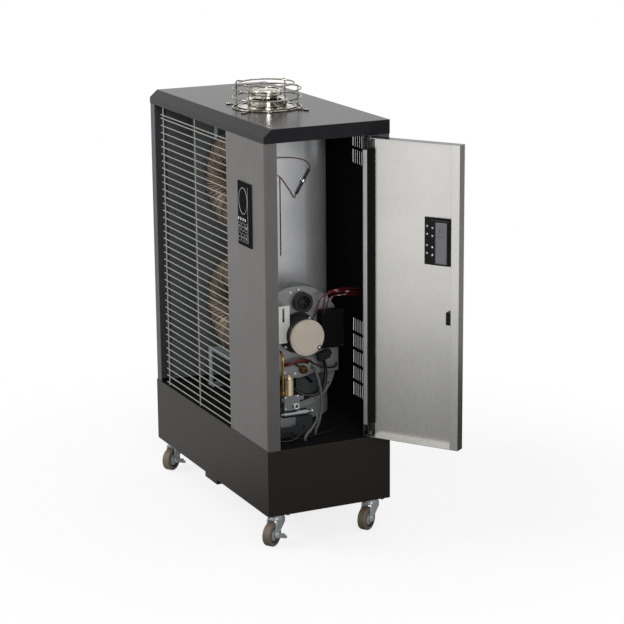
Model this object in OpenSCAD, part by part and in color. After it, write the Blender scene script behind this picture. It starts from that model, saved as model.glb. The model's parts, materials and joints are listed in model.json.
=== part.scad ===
// Infrared diesel heater on four swivel casters, its machine door standing open.
// Millimetres. X runs from the closed left side to the door side, Y from the front
// grille to the rear panel, Z up. The origin is on the floor, under the middle of the cabinet.

/* [Cabinet] */
// Width of the cabinet, from the left side to the door side
cab_w = 790; // [760:1:900]
// Depth of the cabinet, from the front to the rear
cab_d = 360; // [350:1:430]
// Height of the cabinet walls, between the tank housing and the top cover
cab_h = 823; // [815:1:900]
// Thickness of the painted sheet metal
sheet_t = 1.5; // [1:0.1:2]
// Width of the front column that hides the burner compartment
column_w = 245; // [235:1:260]
// Depth of the column's return on the door side
return_d = 36; // [30:1:40]
// Width of the left side's front flange
left_flange = 30; // [20:1:36]
// Width of the rear corner post beside the door
post_w = 32.5; // [30:0.5:40]

/* [Top cover] */
// Height of the top cover
cover_h = 37; // [34:1:60]
// How far the top cover and the tank housing's edge stand beyond the cabinet
cover_over = 1; // [0.5:0.5:3]
// Chamfer along the cover's front edge, measured along the depth
chamfer_d = 23; // [10:1:30]
// Chamfer along the cover's front edge, measured along the height
chamfer_h = 20; // [8:1:24]

/* [Tank base] */
// Height of the tank housing
tank_h = 181; // [170:1:240]
// How far the tank housing stands beyond the cabinet
tank_over = 2; // [1:0.5:4]
// Space between the tank housing and the fuel tank
tank_gap = 17; // [12:1:30]
// Height of the fuel tank
fuel_tank_h = 150; // [120:1:152]
// Outer radius of the filler neck
neck_r = 22; // [18:0.5:24]
// Height of the filler neck's axis above the tank housing's floor
neck_z = 122; // [90:1:118]
// Width of the drain guard under the front edge
drain_w = 84; // [60:1:100]
// How far the drain guard hangs down
drain_h = 14; // [10:1:18]

/* [Casters] */
// Height of the casters, from the floor to the tank housing
caster_h = 89; // [86:0.5:110]
// Radius of the wheels
wheel_r = 32; // [28:0.5:34]
// Width of the wheels
wheel_w = 24; // [18:1:28]
// Distance of each swivel axis from the cabinet's side
caster_in_x = 35; // [33:1:60]
// Distance of each swivel axis from the cabinet's front or rear
caster_in_y = 38; // [36:1:60]
// Distance of the wheel's axle from the swivel axis
trail = 26; // [18:1:30]
// Angle by which the casters are turned as the heater stands
swivel_turn = 34.5; // [0:0.5:90]
// Radius of the kingpins
kingpin_r = 5; // [4:0.5:6]
// Radius of the axle bolts
axle_r = 4; // [3:0.5:5]

/* [Door] */
// Depth of the door's folded edges
door_d = 28; // [22:1:30]
// Width of the door's return lip along its free edge
door_lip = 23; // [12:1:26]
// Gap between the door and the front column
door_gap = 1.5; // [1.2:0.1:3]
// Gap between the door and the rear corner post
hinge_gap = 7.5; // [7:0.5:10]
// Distance of the hinge pins from the door's outer face
pin_in_x = 8; // [7:0.5:9]
// Distance of the hinge pins from the door's hinged edge
pin_in_y = 12; // [11:0.5:14]
// Radius of the hinge pins
hinge_pin_r = 4; // [3:0.5:5]
// Angle at which the door stands open
door_open = 124.5; // [90:0.5:128]
// Width of the recessed handle
handle_w = 50; // [44:1:60]
// Distance of the recessed handle from the door's return lip
handle_in = 13; // [1:1:16]
// Height of the recessed handle
handle_h = 118; // [100:1:130]
// Height of the handle's middle above the tank housing
handle_z = 556; // [400:1:600]

/* [Grille] */
// Distance from one horizontal wire to the next
wire_pitch = 20.5; // [18:0.5:30]
// Radius of the horizontal wires
wire_r = 1.6; // [1.5:0.1:2.5]
// Radius of the upright wires
upright_r = 2; // [2:0.1:3]
// Distance of the left upright wire from the cabinet's left side
upright_in = 81; // [60:1:90]

/* [Heat exchanger] */
// Outer radius of the heat tubes
tube_r = 57; // [50:0.5:60]
// Wall of the heat tubes
tube_t = 1.5; // [1:0.1:2]
// Height of the lowest run above the tank housing
first_run = 170; // [150:1:180]
// Height left between the highest run and the top cover
above_run = 110; // [102:1:120]
// Distance of the tubes' plane in front of the cabinet's middle
tube_front = 16; // [5:1:25]
// Distance of the left bends' middle from the cabinet's middle
bend_left = 142; // [120:1:160]
// Ribs on each corrugated bend
bend_ribs = 9; // [5:1:12]
// Height of the ribs
rib_h = 2.5; // [1:0.5:4]
// Distance of the flue's axis from the cabinet's middle
flue_x = 55; // [40:1:60]

/* [Flue outlet] */
// Radius of the base plate on the cover
flue_plate_r = 80; // [70:1:85]
// Radius of the lower cowl ring
cowl_low_r = 56; // [50:1:62]
// Radius of the upper cowl ring
cowl_top_r = 43; // [36:1:48]
// Radius of the wire guard's rings
guard_r = 93; // [88:1:110]
// Height of the wire guard
guard_h = 68; // [62:1:90]
// Radius of the guard's wires
guard_wire_r = 2; // [1.5:0.1:2.5]

/* [Burner] */
// Radius of the fan housing
fan_r = 122; // [110:1:124]
// Width of the fan housing
fan_w = 43; // [36:1:50]
// Height of the fan's axis above the lowest run of tube
fan_rise = 112; // [104:1:118]
// Radius of the burner drum
drum_r = 100; // [90:1:104]
// Length of the burner drum
drum_l = 60; // [50:1:66]
// Radius of the fan motor
motor_r = 44; // [38:1:46]
// Length of the fan motor
motor_l = 56; // [40:1:60]
// Radius of the motor's end cap
cap_r = 49; // [45:1:50]
// Radius of the air inlet port
port_r = 27; // [22:1:30]

/* [Control panel] */
// Width of the control panel
panel_w = 84; // [70:1:100]
// Height of the control panel
panel_h = 170; // [150:1:200]
// Distance of the panel's right edge from the cabinet's corner
panel_in = 82; // [60:1:90]
// Height of the panel's top below the top cover
panel_drop = 119; // [80:1:160]

/* [Rear panel] */
// Width of each louvre slot
slot_w = 7; // [5:0.5:9]
// Height of each louvre slot
slot_h = 37; // [30:1:40]
// Distance from one slot to the next along a row
slot_pitch = 13; // [11:0.5:16]
// Distance from one row of slots to the next
row_pitch = 46; // [42:1:60]
// Slots in each row
row_slots = 7; // [3:1:7]

/* [Hidden] */
$fn = 64;

// Clearances: running fits, pieces that pass each other, pieces that sit side by side,
// wires welded to each other, and plates in their cut-outs.
fit = 0.05;
pass = 1;
seat = 0.3;
weld_gap = 0.1;
cut_gap = 0.5;

// Levels and faces of the cabinet.
half_w = cab_w / 2;
half_d = cab_d / 2;
deck_z = caster_h + tank_h;
roof_z = deck_z + cab_h;
top_z = roof_z + cover_h;
column_x = half_w - column_w;
chamber_x = column_x + 10;
flange_w = 15;

// The door, its hinge axis and its swing.
door_bottom = deck_z + 3.5;
door_top = roof_z - 5;
door_front = return_d + sheet_t + door_gap - half_d - sheet_t;
door_rear = half_d - post_w - hinge_gap;
hinge_x = half_w - pin_in_x;
hinge_y = door_rear - pin_in_y;
door_in = half_w - door_d;
stile_end = 33;
stile_w = 11;
handle_y = door_front + door_lip + handle_in + handle_w / 2;
handle_mid = deck_z + handle_z;

// The heat exchanger: run i of the tube lies at run_z(i).
tube_y = -tube_front;
run_pitch = (cab_h - first_run - above_run) / 3;
function run_z(i) = deck_z + first_run + i * run_pitch;
bend_r = run_pitch / 2;
bend_right = chamber_x - 12 - tube_r - bend_r;
elbow_r = 75;
pipe_clear = 1.5;

// The burner stands on the door side of the partition.
burner_x = chamber_x + sheet_t;
flange_t = 4;
drum_x = burner_x + flange_t;
fan_back = drum_x + drum_l + 4 + seat;
fan_front = fan_back + fan_w;
fan_y = -34;
fan_z = run_z(0) + fan_rise;
motor_x = fan_front;
shaft_r = 4;

// Levels in the casters, from the plate down.
plate_t = 2.5;
plate_half = 30;
race_h = 13;
race_r = 20;
crown_t = 3;
crown_top = caster_h - plate_t - race_h - seat;
leg_t = 2.5;
leg_in = wheel_w / 2 + 1.5;
leg_out = leg_in + leg_t;
caster_x = half_w - caster_in_x;
caster_y = half_d - caster_in_y;

// Boxes, rods and rings along the axes.
module box(x0, x1, y0, y1, z0, z1) {
    translate([x0, y0, z0]) cube([x1 - x0, y1 - y0, z1 - z0]);
}

module rod_x(x0, x1, y, z, r) {
    translate([x0, y, z]) rotate([0, 90, 0]) cylinder(h = x1 - x0, r = r);
}

module rod_y(x, y0, y1, z, r) {
    translate([x, y1, z]) rotate([90, 0, 0]) cylinder(h = y1 - y0, r = r);
}

module rod_z(x, y, z0, z1, r) {
    translate([x, y, z0]) cylinder(h = z1 - z0, r = r);
}

module pipe_x(x0, x1, y, z, r, t) {
    difference() {
        rod_x(x0, x1, y, z, r);
        rod_x(x0 - 1, x1 + 1, y, z, r - t);
    }
}

module pipe_z(x, y, z0, z1, r, t) {
    difference() {
        rod_z(x, y, z0, z1, r);
        rod_z(x, y, z0 - 1, z1 + 1, r - t);
    }
}

// Turns a plan drawn in X and Y into a wall between two levels.
module wall(z0, z1) {
    translate([0, 0, z0]) linear_extrude(z1 - z0) children();
}

module rect(x0, x1, y0, y1) {
    translate([x0, y0]) square([x1 - x0, y1 - y0]);
}

// A smooth curve through a route's points, and a round tube along it.
function curve_point(a, b, c, d, t) =
    0.5 * (2 * b + (c - a) * t + (2 * a - 5 * b + 4 * c - d) * t * t
        + (3 * b - a - 3 * c + d) * t * t * t);
function smooth_route(p, n) = concat(
    [for (i = [0 : len(p) - 2]) for (k = [0 : n - 1])
        curve_point(p[max(i - 1, 0)], p[i], p[i + 1], p[min(i + 2, len(p) - 1)], k / n)],
    [p[len(p) - 1]]);
function unit(v) = v / norm(v);

module tube_along(route, r, side, steps = 5, sides = 8) {
    p = smooth_route(route, steps);
    last = len(p) - 1;
    ends = len(route) - 1;
    rings = [for (i = [0 : last])
        let (t = unit(i == 0 ? route[1] - route[0] : i == last ? route[ends] - route[ends - 1]
            : p[i + 1] - p[i - 1]))
        let (u = unit(cross(t, side)))
        let (v = cross(t, u))
        for (k = [0 : sides - 1]) p[i] + r * (cos(360 * k / sides) * u + sin(360 * k / sides) * v)];
    skin = [for (i = [0 : last - 1]) for (k = [0 : sides - 1])
        let (a = i * sides + k, b = i * sides + (k + 1) % sides)
        for (f = [[a, a + sides, b], [b, a + sides, b + sides]]) f];
    start = [for (k = [1 : sides - 2]) [0, k, k + 1]];
    end = [for (k = [1 : sides - 2]) [last * sides, last * sides + k + 1, last * sides + k]];
    polyhedron(points = rings, faces = concat(skin, start, end));
}

// Tank base

// Painted housing of the fuel tank: four walls and a floor, open at the top.
module tank_skirt() {
    x = half_w + tank_over;
    y = half_d + tank_over;
    color([0.17, 0.15, 0.14]) difference() {
        box(-x, x, -y, y, caster_h, deck_z);
        box(sheet_t - x, x - sheet_t, sheet_t - y, y - sheet_t, caster_h + sheet_t, deck_z + 1);
        rod_x(-x - 1, 1 - half_w, neck_y, caster_h + neck_z, neck_r + 2);
        rod_z(drain_x, drain_y, caster_h - 1, caster_h + sheet_t + 1, drain_plug_r + pass);
    }
}
neck_y = 60;
drain_x = 5;
drain_y = -half_d + 34;
drain_plug_r = 8;

// Folded guard round the drain plug, and the plug itself.
module drain_guard() {
    y = -half_d - tank_over;
    color([0.2, 0.18, 0.17]) {
        difference() {
            box(drain_x - drain_w / 2, drain_x + drain_w / 2, y, y + 62, caster_h - drain_h, caster_h);
            box(drain_x - drain_w / 2 + sheet_t, drain_x + drain_w / 2 - sheet_t, y + sheet_t, y + 63,
                caster_h - drain_h - 1, caster_h - sheet_t);
            rod_z(drain_x, drain_y, caster_h - drain_h, caster_h + 1, drain_plug_r + pass);
        }
        rod_z(drain_x, drain_y, caster_h - 8, caster_h + sheet_t, drain_plug_r);
        translate([drain_x, drain_y, caster_h - 12]) cylinder(h = 4, r = 7, $fn = 6);
    }
}

// Outer end of the filler neck, which the cap closes.
neck_end = -half_w - tank_over - 8;

// Welded steel tank, with its filler neck through the left wall of the housing.
module fuel_tank() {
    x = half_w - tank_gap;
    y = half_d - tank_gap;
    z0 = caster_h + sheet_t;
    z1 = z0 + fuel_tank_h;
    color([0.3, 0.31, 0.32]) {
        difference() {
            union() {
                box(-x, x, -y, y, z0, z1);
                rod_x(neck_end, 1 - x, neck_y, caster_h + neck_z, neck_r);
            }
            box(sheet_t - x, x - sheet_t, sheet_t - y, y - sheet_t, z0 + sheet_t, z1 - sheet_t);
            rod_x(neck_end - 1, sheet_t + 1 - x, neck_y, caster_h + neck_z, neck_r - 3);
        }
    }
}

// Quarter-turn filler cap with six grip flats.
module fuel_cap() {
    z = caster_h + neck_z;
    color([0.1, 0.1, 0.1]) difference() {
        union() {
            rod_x(neck_end - 4, neck_end + 6, neck_y, z, neck_r + 5);
            translate([neck_end - 14, neck_y, z]) rotate([0, 90, 0])
                cylinder(h = 11, r = neck_r + 1, $fn = 12);
        }
        rod_x(neck_end - seat, neck_end + 7, neck_y, z, neck_r + fit);
    }
}

// Plate between the tank and the cabinet, with the two hose holes.
module deck_plate() {
    x = half_w + tank_over - sheet_t;
    y = half_d + tank_over - sheet_t;
    color([0.09, 0.09, 0.09]) difference() {
        box(-x, x, -y, y, deck_z - sheet_t, deck_z);
        for (p = [hose_a_end, hose_b_end]) rod_z(p[0], p[1], deck_z - 5, deck_z + 5, hose_r + pass);
    }
}

// Cabinet

// Left side with a front flange, and a rear flange over the rear panel's edge.
module left_panel() {
    color([0.2, 0.2, 0.21]) wall(deck_z, roof_z) union() {
        rect(-half_w, sheet_t - half_w, -half_d, half_d);
        rect(-half_w, left_flange - half_w, -half_d, sheet_t - half_d);
        rect(-half_w, flange_w - half_w, half_d - sheet_t, half_d);
    }
}

// Rear panel with rows of upright slots behind the burner compartment.
slot_x = half_w - 210;
low_rows = 5;
top_rows = 2;
low_row_z = deck_z + 58;
top_row_z = roof_z - 64;
rear_in = half_d - 2 * sheet_t;
gland_x = half_w - 65;
gland_z = deck_z + 30;
gland_r = 8;
module slot_row(z) {
    for (i = [0 : row_slots - 1]) translate([slot_x + i * slot_pitch, rear_in - 1, z])
        cube([slot_w, sheet_t + 2, slot_h]);
}
module rear_panel() {
    color([0.07, 0.07, 0.07]) difference() {
        box(sheet_t - half_w, half_w - sheet_t, rear_in, half_d - sheet_t, deck_z, roof_z);
        for (i = [0 : low_rows - 1]) slot_row(low_row_z + i * row_pitch);
        for (i = [0 : top_rows - 1]) slot_row(top_row_z - i * row_pitch);
        rod_y(gland_x, rear_in - 1, half_d, gland_z, gland_r + fit);
    }
}

// Corner post behind the door: side, rear flange, and a return beside the opening.
module rear_post() {
    color([0.2, 0.2, 0.21]) wall(deck_z, roof_z) union() {
        rect(half_w - sheet_t, half_w, half_d - post_w, half_d);
        rect(half_w - flange_w, half_w, half_d - sheet_t, half_d);
        rect(half_w - 26, half_w, half_d - post_w, half_d - post_w + sheet_t);
    }
}

// Front column: a wide face, a bent corner and a return with a narrow lip.
corner_r = 4;
module column_plan() {
    difference() {
        union() {
            rect(column_x, half_w - corner_r, -half_d, sheet_t - half_d);
            rect(half_w - sheet_t, half_w, corner_r - half_d, return_d - half_d);
            translate([half_w - corner_r, corner_r - half_d]) intersection() {
                circle(r = corner_r);
                rect(0, corner_r, -corner_r, 0);
            }
            rect(half_w - 17, half_w, return_d - half_d - sheet_t, return_d - half_d);
        }
        translate([half_w - corner_r, corner_r - half_d]) circle(r = corner_r - sheet_t);
    }
}
panel_x1 = half_w - panel_in;
panel_x0 = panel_x1 - panel_w;
panel_z1 = roof_z - panel_drop;
panel_z0 = panel_z1 - panel_h;
bezel_edge = 5;
module front_column() {
    color([0.44, 0.43, 0.42]) difference() {
        wall(deck_z, roof_z) column_plan();
        box(panel_x0 + bezel_edge - cut_gap, panel_x1 - bezel_edge + cut_gap, -half_d - 1, sheet_t - half_d + 1,
            panel_z0 + bezel_edge - cut_gap, panel_z1 - bezel_edge + cut_gap);
    }
}

// Top cover: a folded shell with a chamfered front edge and a narrow bottom flange.
cover_lip = 12;
module cover_profile(inset) {
    y = half_d + cover_over - inset;
    polygon([[-y, roof_z], [-y, top_z - chamfer_h - inset * 0.4], [chamfer_d + inset * 0.4 - y, top_z - inset],
        [y, top_z - inset], [y, roof_z]]);
}
module top_cover() {
    x = half_w + cover_over;
    y = half_d + cover_over;
    color([0.22, 0.22, 0.24]) difference() {
        translate([-x, 0, 0]) rotate([90, 0, 90]) linear_extrude(2 * x) cover_profile(0);
        difference() {
            translate([sheet_t - x, 0, 0]) rotate([90, 0, 90])
                linear_extrude(2 * (x - sheet_t)) cover_profile(sheet_t);
            difference() {
                box(-x, x, -y, y, roof_z, roof_z + sheet_t);
                box(cover_lip - x, x - cover_lip, cover_lip - y, y - cover_lip, roof_z - 1, roof_z + sheet_t + 1);
            }
        }
        box(cover_lip - x, x - cover_lip, cover_lip - y, y - cover_lip, roof_z - 1, roof_z + 1);
        rod_z(flue_x, tube_y, roof_z, top_z + 1, tube_r + pipe_clear);
    }
}

// Front grille: three uprights, the right one behind the column's edge, and the wires on them.
wire_y = sheet_t - half_d + wire_r;
upright_y = wire_y + wire_r + upright_r + weld_gap;
upright_pitch = (column_x + half_w - upright_in) / 2;
wire_over = 8;
wire_left = upright_in - half_w - wire_over;
wire_right = column_x + wire_over;
wire_first = deck_z + 10;
wire_count = floor((roof_z - 20 - wire_first) / wire_pitch) + 1;
module wire_grille() {
    color([0.7, 0.7, 0.68]) {
        for (i = [0 : wire_count - 1]) rod_x(wire_left, wire_right, wire_y, wire_first + i * wire_pitch, wire_r);
        rod_x(wire_left, wire_right, wire_y, wire_first + (wire_count - 0.5) * wire_pitch, wire_r);
        for (i = [0 : 2]) rod_z(upright_in - half_w + i * upright_pitch, upright_y, deck_z, roof_z, upright_r);
    }
}

// Reflectors: a flat one on the left, and a folded one behind the tubes.
reflect_t = 1;
wing_y = -half_d + 120;
back_y = half_d - 68;
side_front = 40 - half_d;
module reflectors() {
    x0 = 20 - half_w;
    x1 = x0 + 75;
    color([0.24, 0.26, 0.27]) wall(deck_z, roof_z - 2) {
        union() {
            rect(x0 - reflect_t, x0, side_front, wing_y);
            rect(sheet_t - half_w, x0, side_front, side_front + reflect_t);
        }
        union() {
            polygon([[x0, wing_y + seat], [x1, back_y], [x1, back_y + reflect_t],
                [x0 - reflect_t, wing_y + seat]]);
            rect(x1, chamber_x - 36, back_y, back_y + reflect_t);
        }
    }
}

// Curved heat shield between the tubes and the burner compartment, with an upright slot.
shield_r = 100;
shield_arc_y = 45;
shield_front = 12;
shield_slot_w = 4;
shield_slot_y = tube_y - 13;
shield_slot_low = 469;
shield_slot_high = 686;
module partition() {
    x = burner_x;
    color([0.62, 0.63, 0.63]) difference() {
        wall(deck_z, roof_z - 2) union() {
            rect(x - sheet_t, x, shield_front - half_d, shield_arc_y);
            translate([x - shield_r, shield_arc_y]) intersection() {
                difference() {
                    circle(r = shield_r);
                    circle(r = shield_r - sheet_t);
                }
                rect(0, shield_r, 0, shield_r);
            }
            rect(x - shield_r - 20, x - shield_r, shield_arc_y + shield_r - sheet_t, shield_arc_y + shield_r);
        }
        rod_x(x - 10, x + 10, tube_y, run_z(0), tube_r + pipe_clear);
        box(x - 10, x + 10, shield_slot_y - shield_slot_w / 2, shield_slot_y + shield_slot_w / 2,
            deck_z + shield_slot_low, deck_z + shield_slot_high);
    }
}

// Heat exchanger

// Four straight runs: the lowest starts at the burner, the highest ends at the flue elbow.
module heat_tubes() {
    ends = [burner_x + flange_t, bend_right, bend_right, flue_x - elbow_r];
    color([0.52, 0.42, 0.34]) for (i = [0 : 3]) pipe_x(-bend_left, ends[i], tube_y, run_z(i), tube_r, tube_t);
}

// One half-turn bend, with ribs round its outer quarter and a weld ring near each end.
rib_span = 84;
rib_deg = 4.5;
ring_deg = 2;
module torus_part(turn, sweep, major, outer, inner) {
    rotate([90, 0, 0]) rotate([0, 0, turn - sweep / 2]) rotate_extrude(angle = sweep)
        translate([major, 0]) difference() {
            circle(r = outer);
            circle(r = inner);
        }
}
module bend(x, z, turn) {
    translate([x, tube_y, z]) union() {
        torus_part(turn, 180, bend_r, tube_r, tube_r - tube_t);
        for (i = [0 : bend_ribs - 1])
            torus_part(turn - rib_span / 2 + i * rib_span / (bend_ribs - 1), rib_deg, bend_r,
                tube_r + rib_h, tube_r - tube_t / 2);
        for (s = [-1, 1]) torus_part(turn + s * 62, ring_deg, bend_r, tube_r + 1.2, tube_r - tube_t / 2);
    }
}
module tube_bends() {
    color([0.45, 0.34, 0.27]) {
        bend(-bend_left, run_z(0.5), 180);
        bend(-bend_left, run_z(2.5), 180);
        bend(bend_right, run_z(1.5), 0);
    }
}

// A post with a shelf under the lowest run, and a hanger over the top bend.
post_in = 115;
post_x = -bend_left - post_in;
shelf_t = 3;
module tube_brackets() {
    shelf_z = run_z(0) - tube_r;
    hang_x = post_x + 3;
    hang_low = run_z(2.5) + sqrt(pow(bend_r + tube_r, 2) - pow(hang_x + 11 + bend_left, 2));
    color([0.4, 0.42, 0.43]) {
        union() {
            box(post_x - 11, post_x + 11, tube_y - 52, tube_y - 48, deck_z, shelf_z);
            box(post_x - 11, 25 - bend_left, tube_y - 52, tube_y + 40, shelf_z - shelf_t, shelf_z);
            box(post_x - 20, post_x + 20, tube_y - 52, tube_y - 20, deck_z, deck_z + shelf_t);
        }
        union() {
            box(hang_x - 11, hang_x + 11, tube_y - 22, tube_y - 19, hang_low, top_z - sheet_t);
            box(hang_x - 11, hang_x + 11, tube_y - 22, tube_y, top_z - sheet_t - shelf_t, top_z - sheet_t);
        }
    }
}

// Elbow from the top run, and the pipe up through the cover.
module flue_pipe() {
    z = run_z(3);
    color([0.5, 0.45, 0.4]) union() {
        translate([flue_x - elbow_r, tube_y, z + elbow_r]) rotate([90, 0, 0]) rotate([0, 0, -90])
            rotate_extrude(angle = 90) translate([elbow_r, 0]) difference() {
                circle(r = tube_r);
                circle(r = tube_r - tube_t);
            }
        pipe_z(flue_x, tube_y, z + elbow_r, top_z, tube_r, tube_t);
    }
}

// Flue outlet

// Round plate on the cover with a raised collar.
collar_h = 17;
plate_h = 3;
collar_r = cowl_low_r - 2 - seat;
module flue_base() {
    color([0.8, 0.8, 0.8]) translate([flue_x, tube_y, top_z]) rotate_extrude() union() {
        rect(collar_r - 3, flue_plate_r - 2, 0, plate_h - 1);
        rect(collar_r - 3, flue_plate_r - 8, 0, plate_h);
        rect(flue_plate_r - 3, flue_plate_r, 0, plate_h + 2);
        rect(collar_r - 3, collar_r, 0, collar_h);
    }
}

// Two-tier cowl: an open lower ring and a closed upper ring on four posts.
cowl_drop = 4;
low_tier_h = 12;
top_tier_h = 21;
tier_gap = 4;
module cowl_tier(r, h, hole, top) {
    rotate_extrude() difference() {
        union() {
            rect(hole, r - 4, 0, h);
            rect(hole, r, 0, h - 4);
            translate([r - 4, h - 4]) circle(r = 4);
        }
        rect(hole - 1, r - 2, -1, h - top);
    }
}
module flue_cowl() {
    z0 = top_z + collar_h - cowl_drop;
    z1 = z0 + low_tier_h + tier_gap;
    color([0.85, 0.85, 0.85]) translate([flue_x, tube_y, 0]) difference() {
        union() {
            translate([0, 0, z0]) cowl_tier(cowl_low_r, low_tier_h, cowl_top_r - 18, 3);
            translate([0, 0, z1]) cowl_tier(cowl_top_r, top_tier_h, 0, 5);
            for (a = [45 : 90 : 315]) rotate([0, 0, a])
                rod_z(cowl_top_r - 13, 0, z0 + low_tier_h - 1, z1 + top_tier_h - 4, 3);
        }
        rod_z(0, 0, z1 + top_tier_h - 1.5, z1 + top_tier_h + 1, cowl_top_r - 10);
    }
}

// Wire guard: four rings, four bent uprights, and an eye at the foot of each upright.
guard_levels = [guard_wire_r, guard_h * 0.42, guard_h * 0.76];
foot_l = 16;
eye_r = 5;
wire_bend_r = 5;
module guard_ring(r, z) {
    translate([0, 0, z]) rotate_extrude() translate([r, 0]) circle(r = guard_wire_r);
}
module wire_corner(x, z, turn) {
    translate([x, 0, z]) rotate([90, 0, 0]) rotate([0, 0, turn])
        rotate_extrude(angle = 90) translate([wire_bend_r, 0]) circle(r = guard_wire_r);
}
module guard_upright(x, inner) {
    b = wire_bend_r;
    rise = guard_h - guard_wire_r;
    union() {
        rod_z(x, 0, guard_wire_r + b, rise - b, guard_wire_r);
        wire_corner(x - b, rise - b, 0);
        rod_x(inner, x - b, 0, rise, guard_wire_r);
        wire_corner(x + b, guard_wire_r + b, 180);
        rod_x(x + b, x + b + foot_l, 0, guard_wire_r, guard_wire_r);
        translate([x + b + foot_l + eye_r, 0, guard_wire_r]) rotate_extrude()
            translate([eye_r, 0]) circle(r = guard_wire_r + 0.3);
    }
}
module flue_guard() {
    top_r = guard_r - 18;
    color([0.8, 0.8, 0.8]) translate([flue_x, tube_y, top_z + seat]) {
        for (z = guard_levels) guard_ring(guard_r, z);
        guard_ring(top_r, guard_h - guard_wire_r);
        for (a = [35, 125, 215, 305]) rotate([0, 0, a])
            guard_upright(guard_r + 2 * guard_wire_r + weld_gap, top_r + guard_wire_r + weld_gap);
    }
}

// Burner

// Round mounting flange on the partition, its rim wide enough for the bolts.
module burner_flange() {
    color([0.5, 0.5, 0.5]) pipe_x(burner_x, drum_x, tube_y, run_z(0), drum_r + 25, drum_r + 25 - tube_r - seat);
}

// Drum that holds the mixing head, with a bolted front ring and a vaned front plate.
ring_r = drum_r + 17;
module burner_drum() {
    y = tube_y;
    z = run_z(0);
    x1 = drum_x + drum_l;
    color([0.35, 0.35, 0.36]) difference() {
        union() {
            rod_x(drum_x, x1, y, z, drum_r);
            rod_x(x1, x1 + 4, y, z, ring_r);
        }
        rod_x(drum_x + 3, x1 + 5, y, z, drum_r - 3);
        rod_x(drum_x - 1, drum_x + 4, y, z, tube_r - tube_t);
        for (a = [0 : 30 : 330]) translate([x1 - 1, y, z]) rotate([a, 0, 0]) rod_x(0, 6, ring_r - 8, 0, 3);
    }
    color([0.45, 0.45, 0.45]) difference() {
        rod_x(x1 - 14, x1 - 12, y, z, drum_r - 3);
        rod_x(x1 - 15, x1 - 11, y, z, 22);
        for (a = [0 : 45 : 315]) translate([x1 - 15, y, z]) rotate([a, 0, 0]) box(0, 4, 30, drum_r - 25, -4, 4);
    }
}

// Fan housing: a round volute with an outlet leading down to the drum.
case_t = 2.5;
outlet_y0 = 24;
outlet_y1 = 88;
outlet_low = fan_z - 118;
module fan_room() {
    union() {
        rod_x(fan_back + case_t, fan_front - case_t, fan_y, fan_z, fan_r - case_t);
        box(fan_back + case_t, fan_front - case_t, outlet_y0, outlet_y1 - case_t, outlet_low, fan_z);
    }
}
module fan_housing() {
    color([0.66, 0.66, 0.65]) difference() {
        union() {
            rod_x(fan_back, fan_front, fan_y, fan_z, fan_r);
            box(fan_back, fan_front, outlet_y0, outlet_y1, outlet_low - case_t, fan_z);
            rod_x(fan_back, fan_back + 4, fan_y, fan_z, fan_r + 7);
            rod_x(fan_front - 5, fan_front - 1, fan_y, fan_z, fan_r + 5);
        }
        fan_room();
        rod_x(fan_front - 5, fan_front + 1, port_y, port_z, port_r - 6);
        rod_x(fan_front - 5, fan_front + 1, fan_y, fan_z, shaft_r + pass);
        rod_x(fan_back - 1, fan_back + 5, 56, fan_z - 90, 24);
    }
}

// Impeller with curved-in blades, fixed to the motor's shaft.
wheel_gap = 5;
blade_count = 24;
module fan_impeller() {
    x0 = fan_back + case_t + wheel_gap;
    x1 = fan_front - case_t - wheel_gap;
    r = motor_r + 26;
    color([0.55, 0.55, 0.56]) union() {
        rod_x(x0, x0 + 2, fan_y, fan_z, r);
        pipe_x(x1 - 2, x1, fan_y, fan_z, r, 14);
        rod_x(x0, x1, fan_y, fan_z, 12);
        rod_x(x0, motor_x + 24, fan_y, fan_z, shaft_r);
        for (i = [0 : blade_count - 1]) translate([x0, fan_y, fan_z]) rotate([i * 360 / blade_count, 0, 0])
            translate([0, r - 8, 0]) rotate([25, 0, 0]) translate([0, -5.5, -0.6]) cube([x1 - x0, 11, 1.2]);
    }
}

// Motor body with a blind bore for the shaft, and its pale end cap.
module fan_motor() {
    color([0.08, 0.08, 0.09]) difference() {
        union() {
            rod_x(motor_x, motor_x + motor_l, fan_y, fan_z, motor_r);
            rod_x(motor_x, motor_x + 4, fan_y, fan_z, motor_r + 12);
        }
        rod_x(motor_x - 1, motor_x + 26, fan_y, fan_z, shaft_r + fit);
    }
}
module motor_cap() {
    x = motor_x + motor_l;
    color([0.78, 0.74, 0.68]) union() {
        rod_x(x, x + 8, fan_y, fan_z, cap_r);
        rod_x(x + 8, x + 9, fan_y, fan_z, cap_r - 6);
    }
}

// Rubber air inlet on the fan housing's face.
port_y = fan_y + 12;
port_z = fan_z + 84;
module air_port() {
    color([0.06, 0.06, 0.07]) translate([fan_front, port_y, port_z]) difference() {
        rod_x(0, 18, 0, 0, port_r);
        rod_x(6, 14, 0, 0, port_r - 5);
        rod_x(14, 19, 0, 0, port_r - 9);
        rod_x(-1, 4, 0, 0, port_r - 5);
        for (a = [0 : 60 : 300]) rotate([a, 0, 0]) rod_x(3, 7, 12, 0, 4.5);
    }
}

// Slotted white plate on a folded foot, beside the motor.
scale_x = fan_front + 25;
module scale_plate() {
    z0 = fan_z - 18;
    z1 = z0 + 102;
    color([0.8, 0.82, 0.8]) difference() {
        union() {
            box(scale_x, scale_x + 2, fan_y - 92, fan_y - 35, z0, z1);
            box(fan_front, scale_x + 2, fan_y - 92, fan_y - motor_r - 14, z0, z0 + 2);
        }
        rod_x(scale_x - 1, scale_x + 3, fan_y, fan_z, motor_r + pass);
        box(scale_x - 1, scale_x + 3, fan_y - 56, fan_y - 50, z1 - 44, z1 - 6);
    }
}

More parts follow.
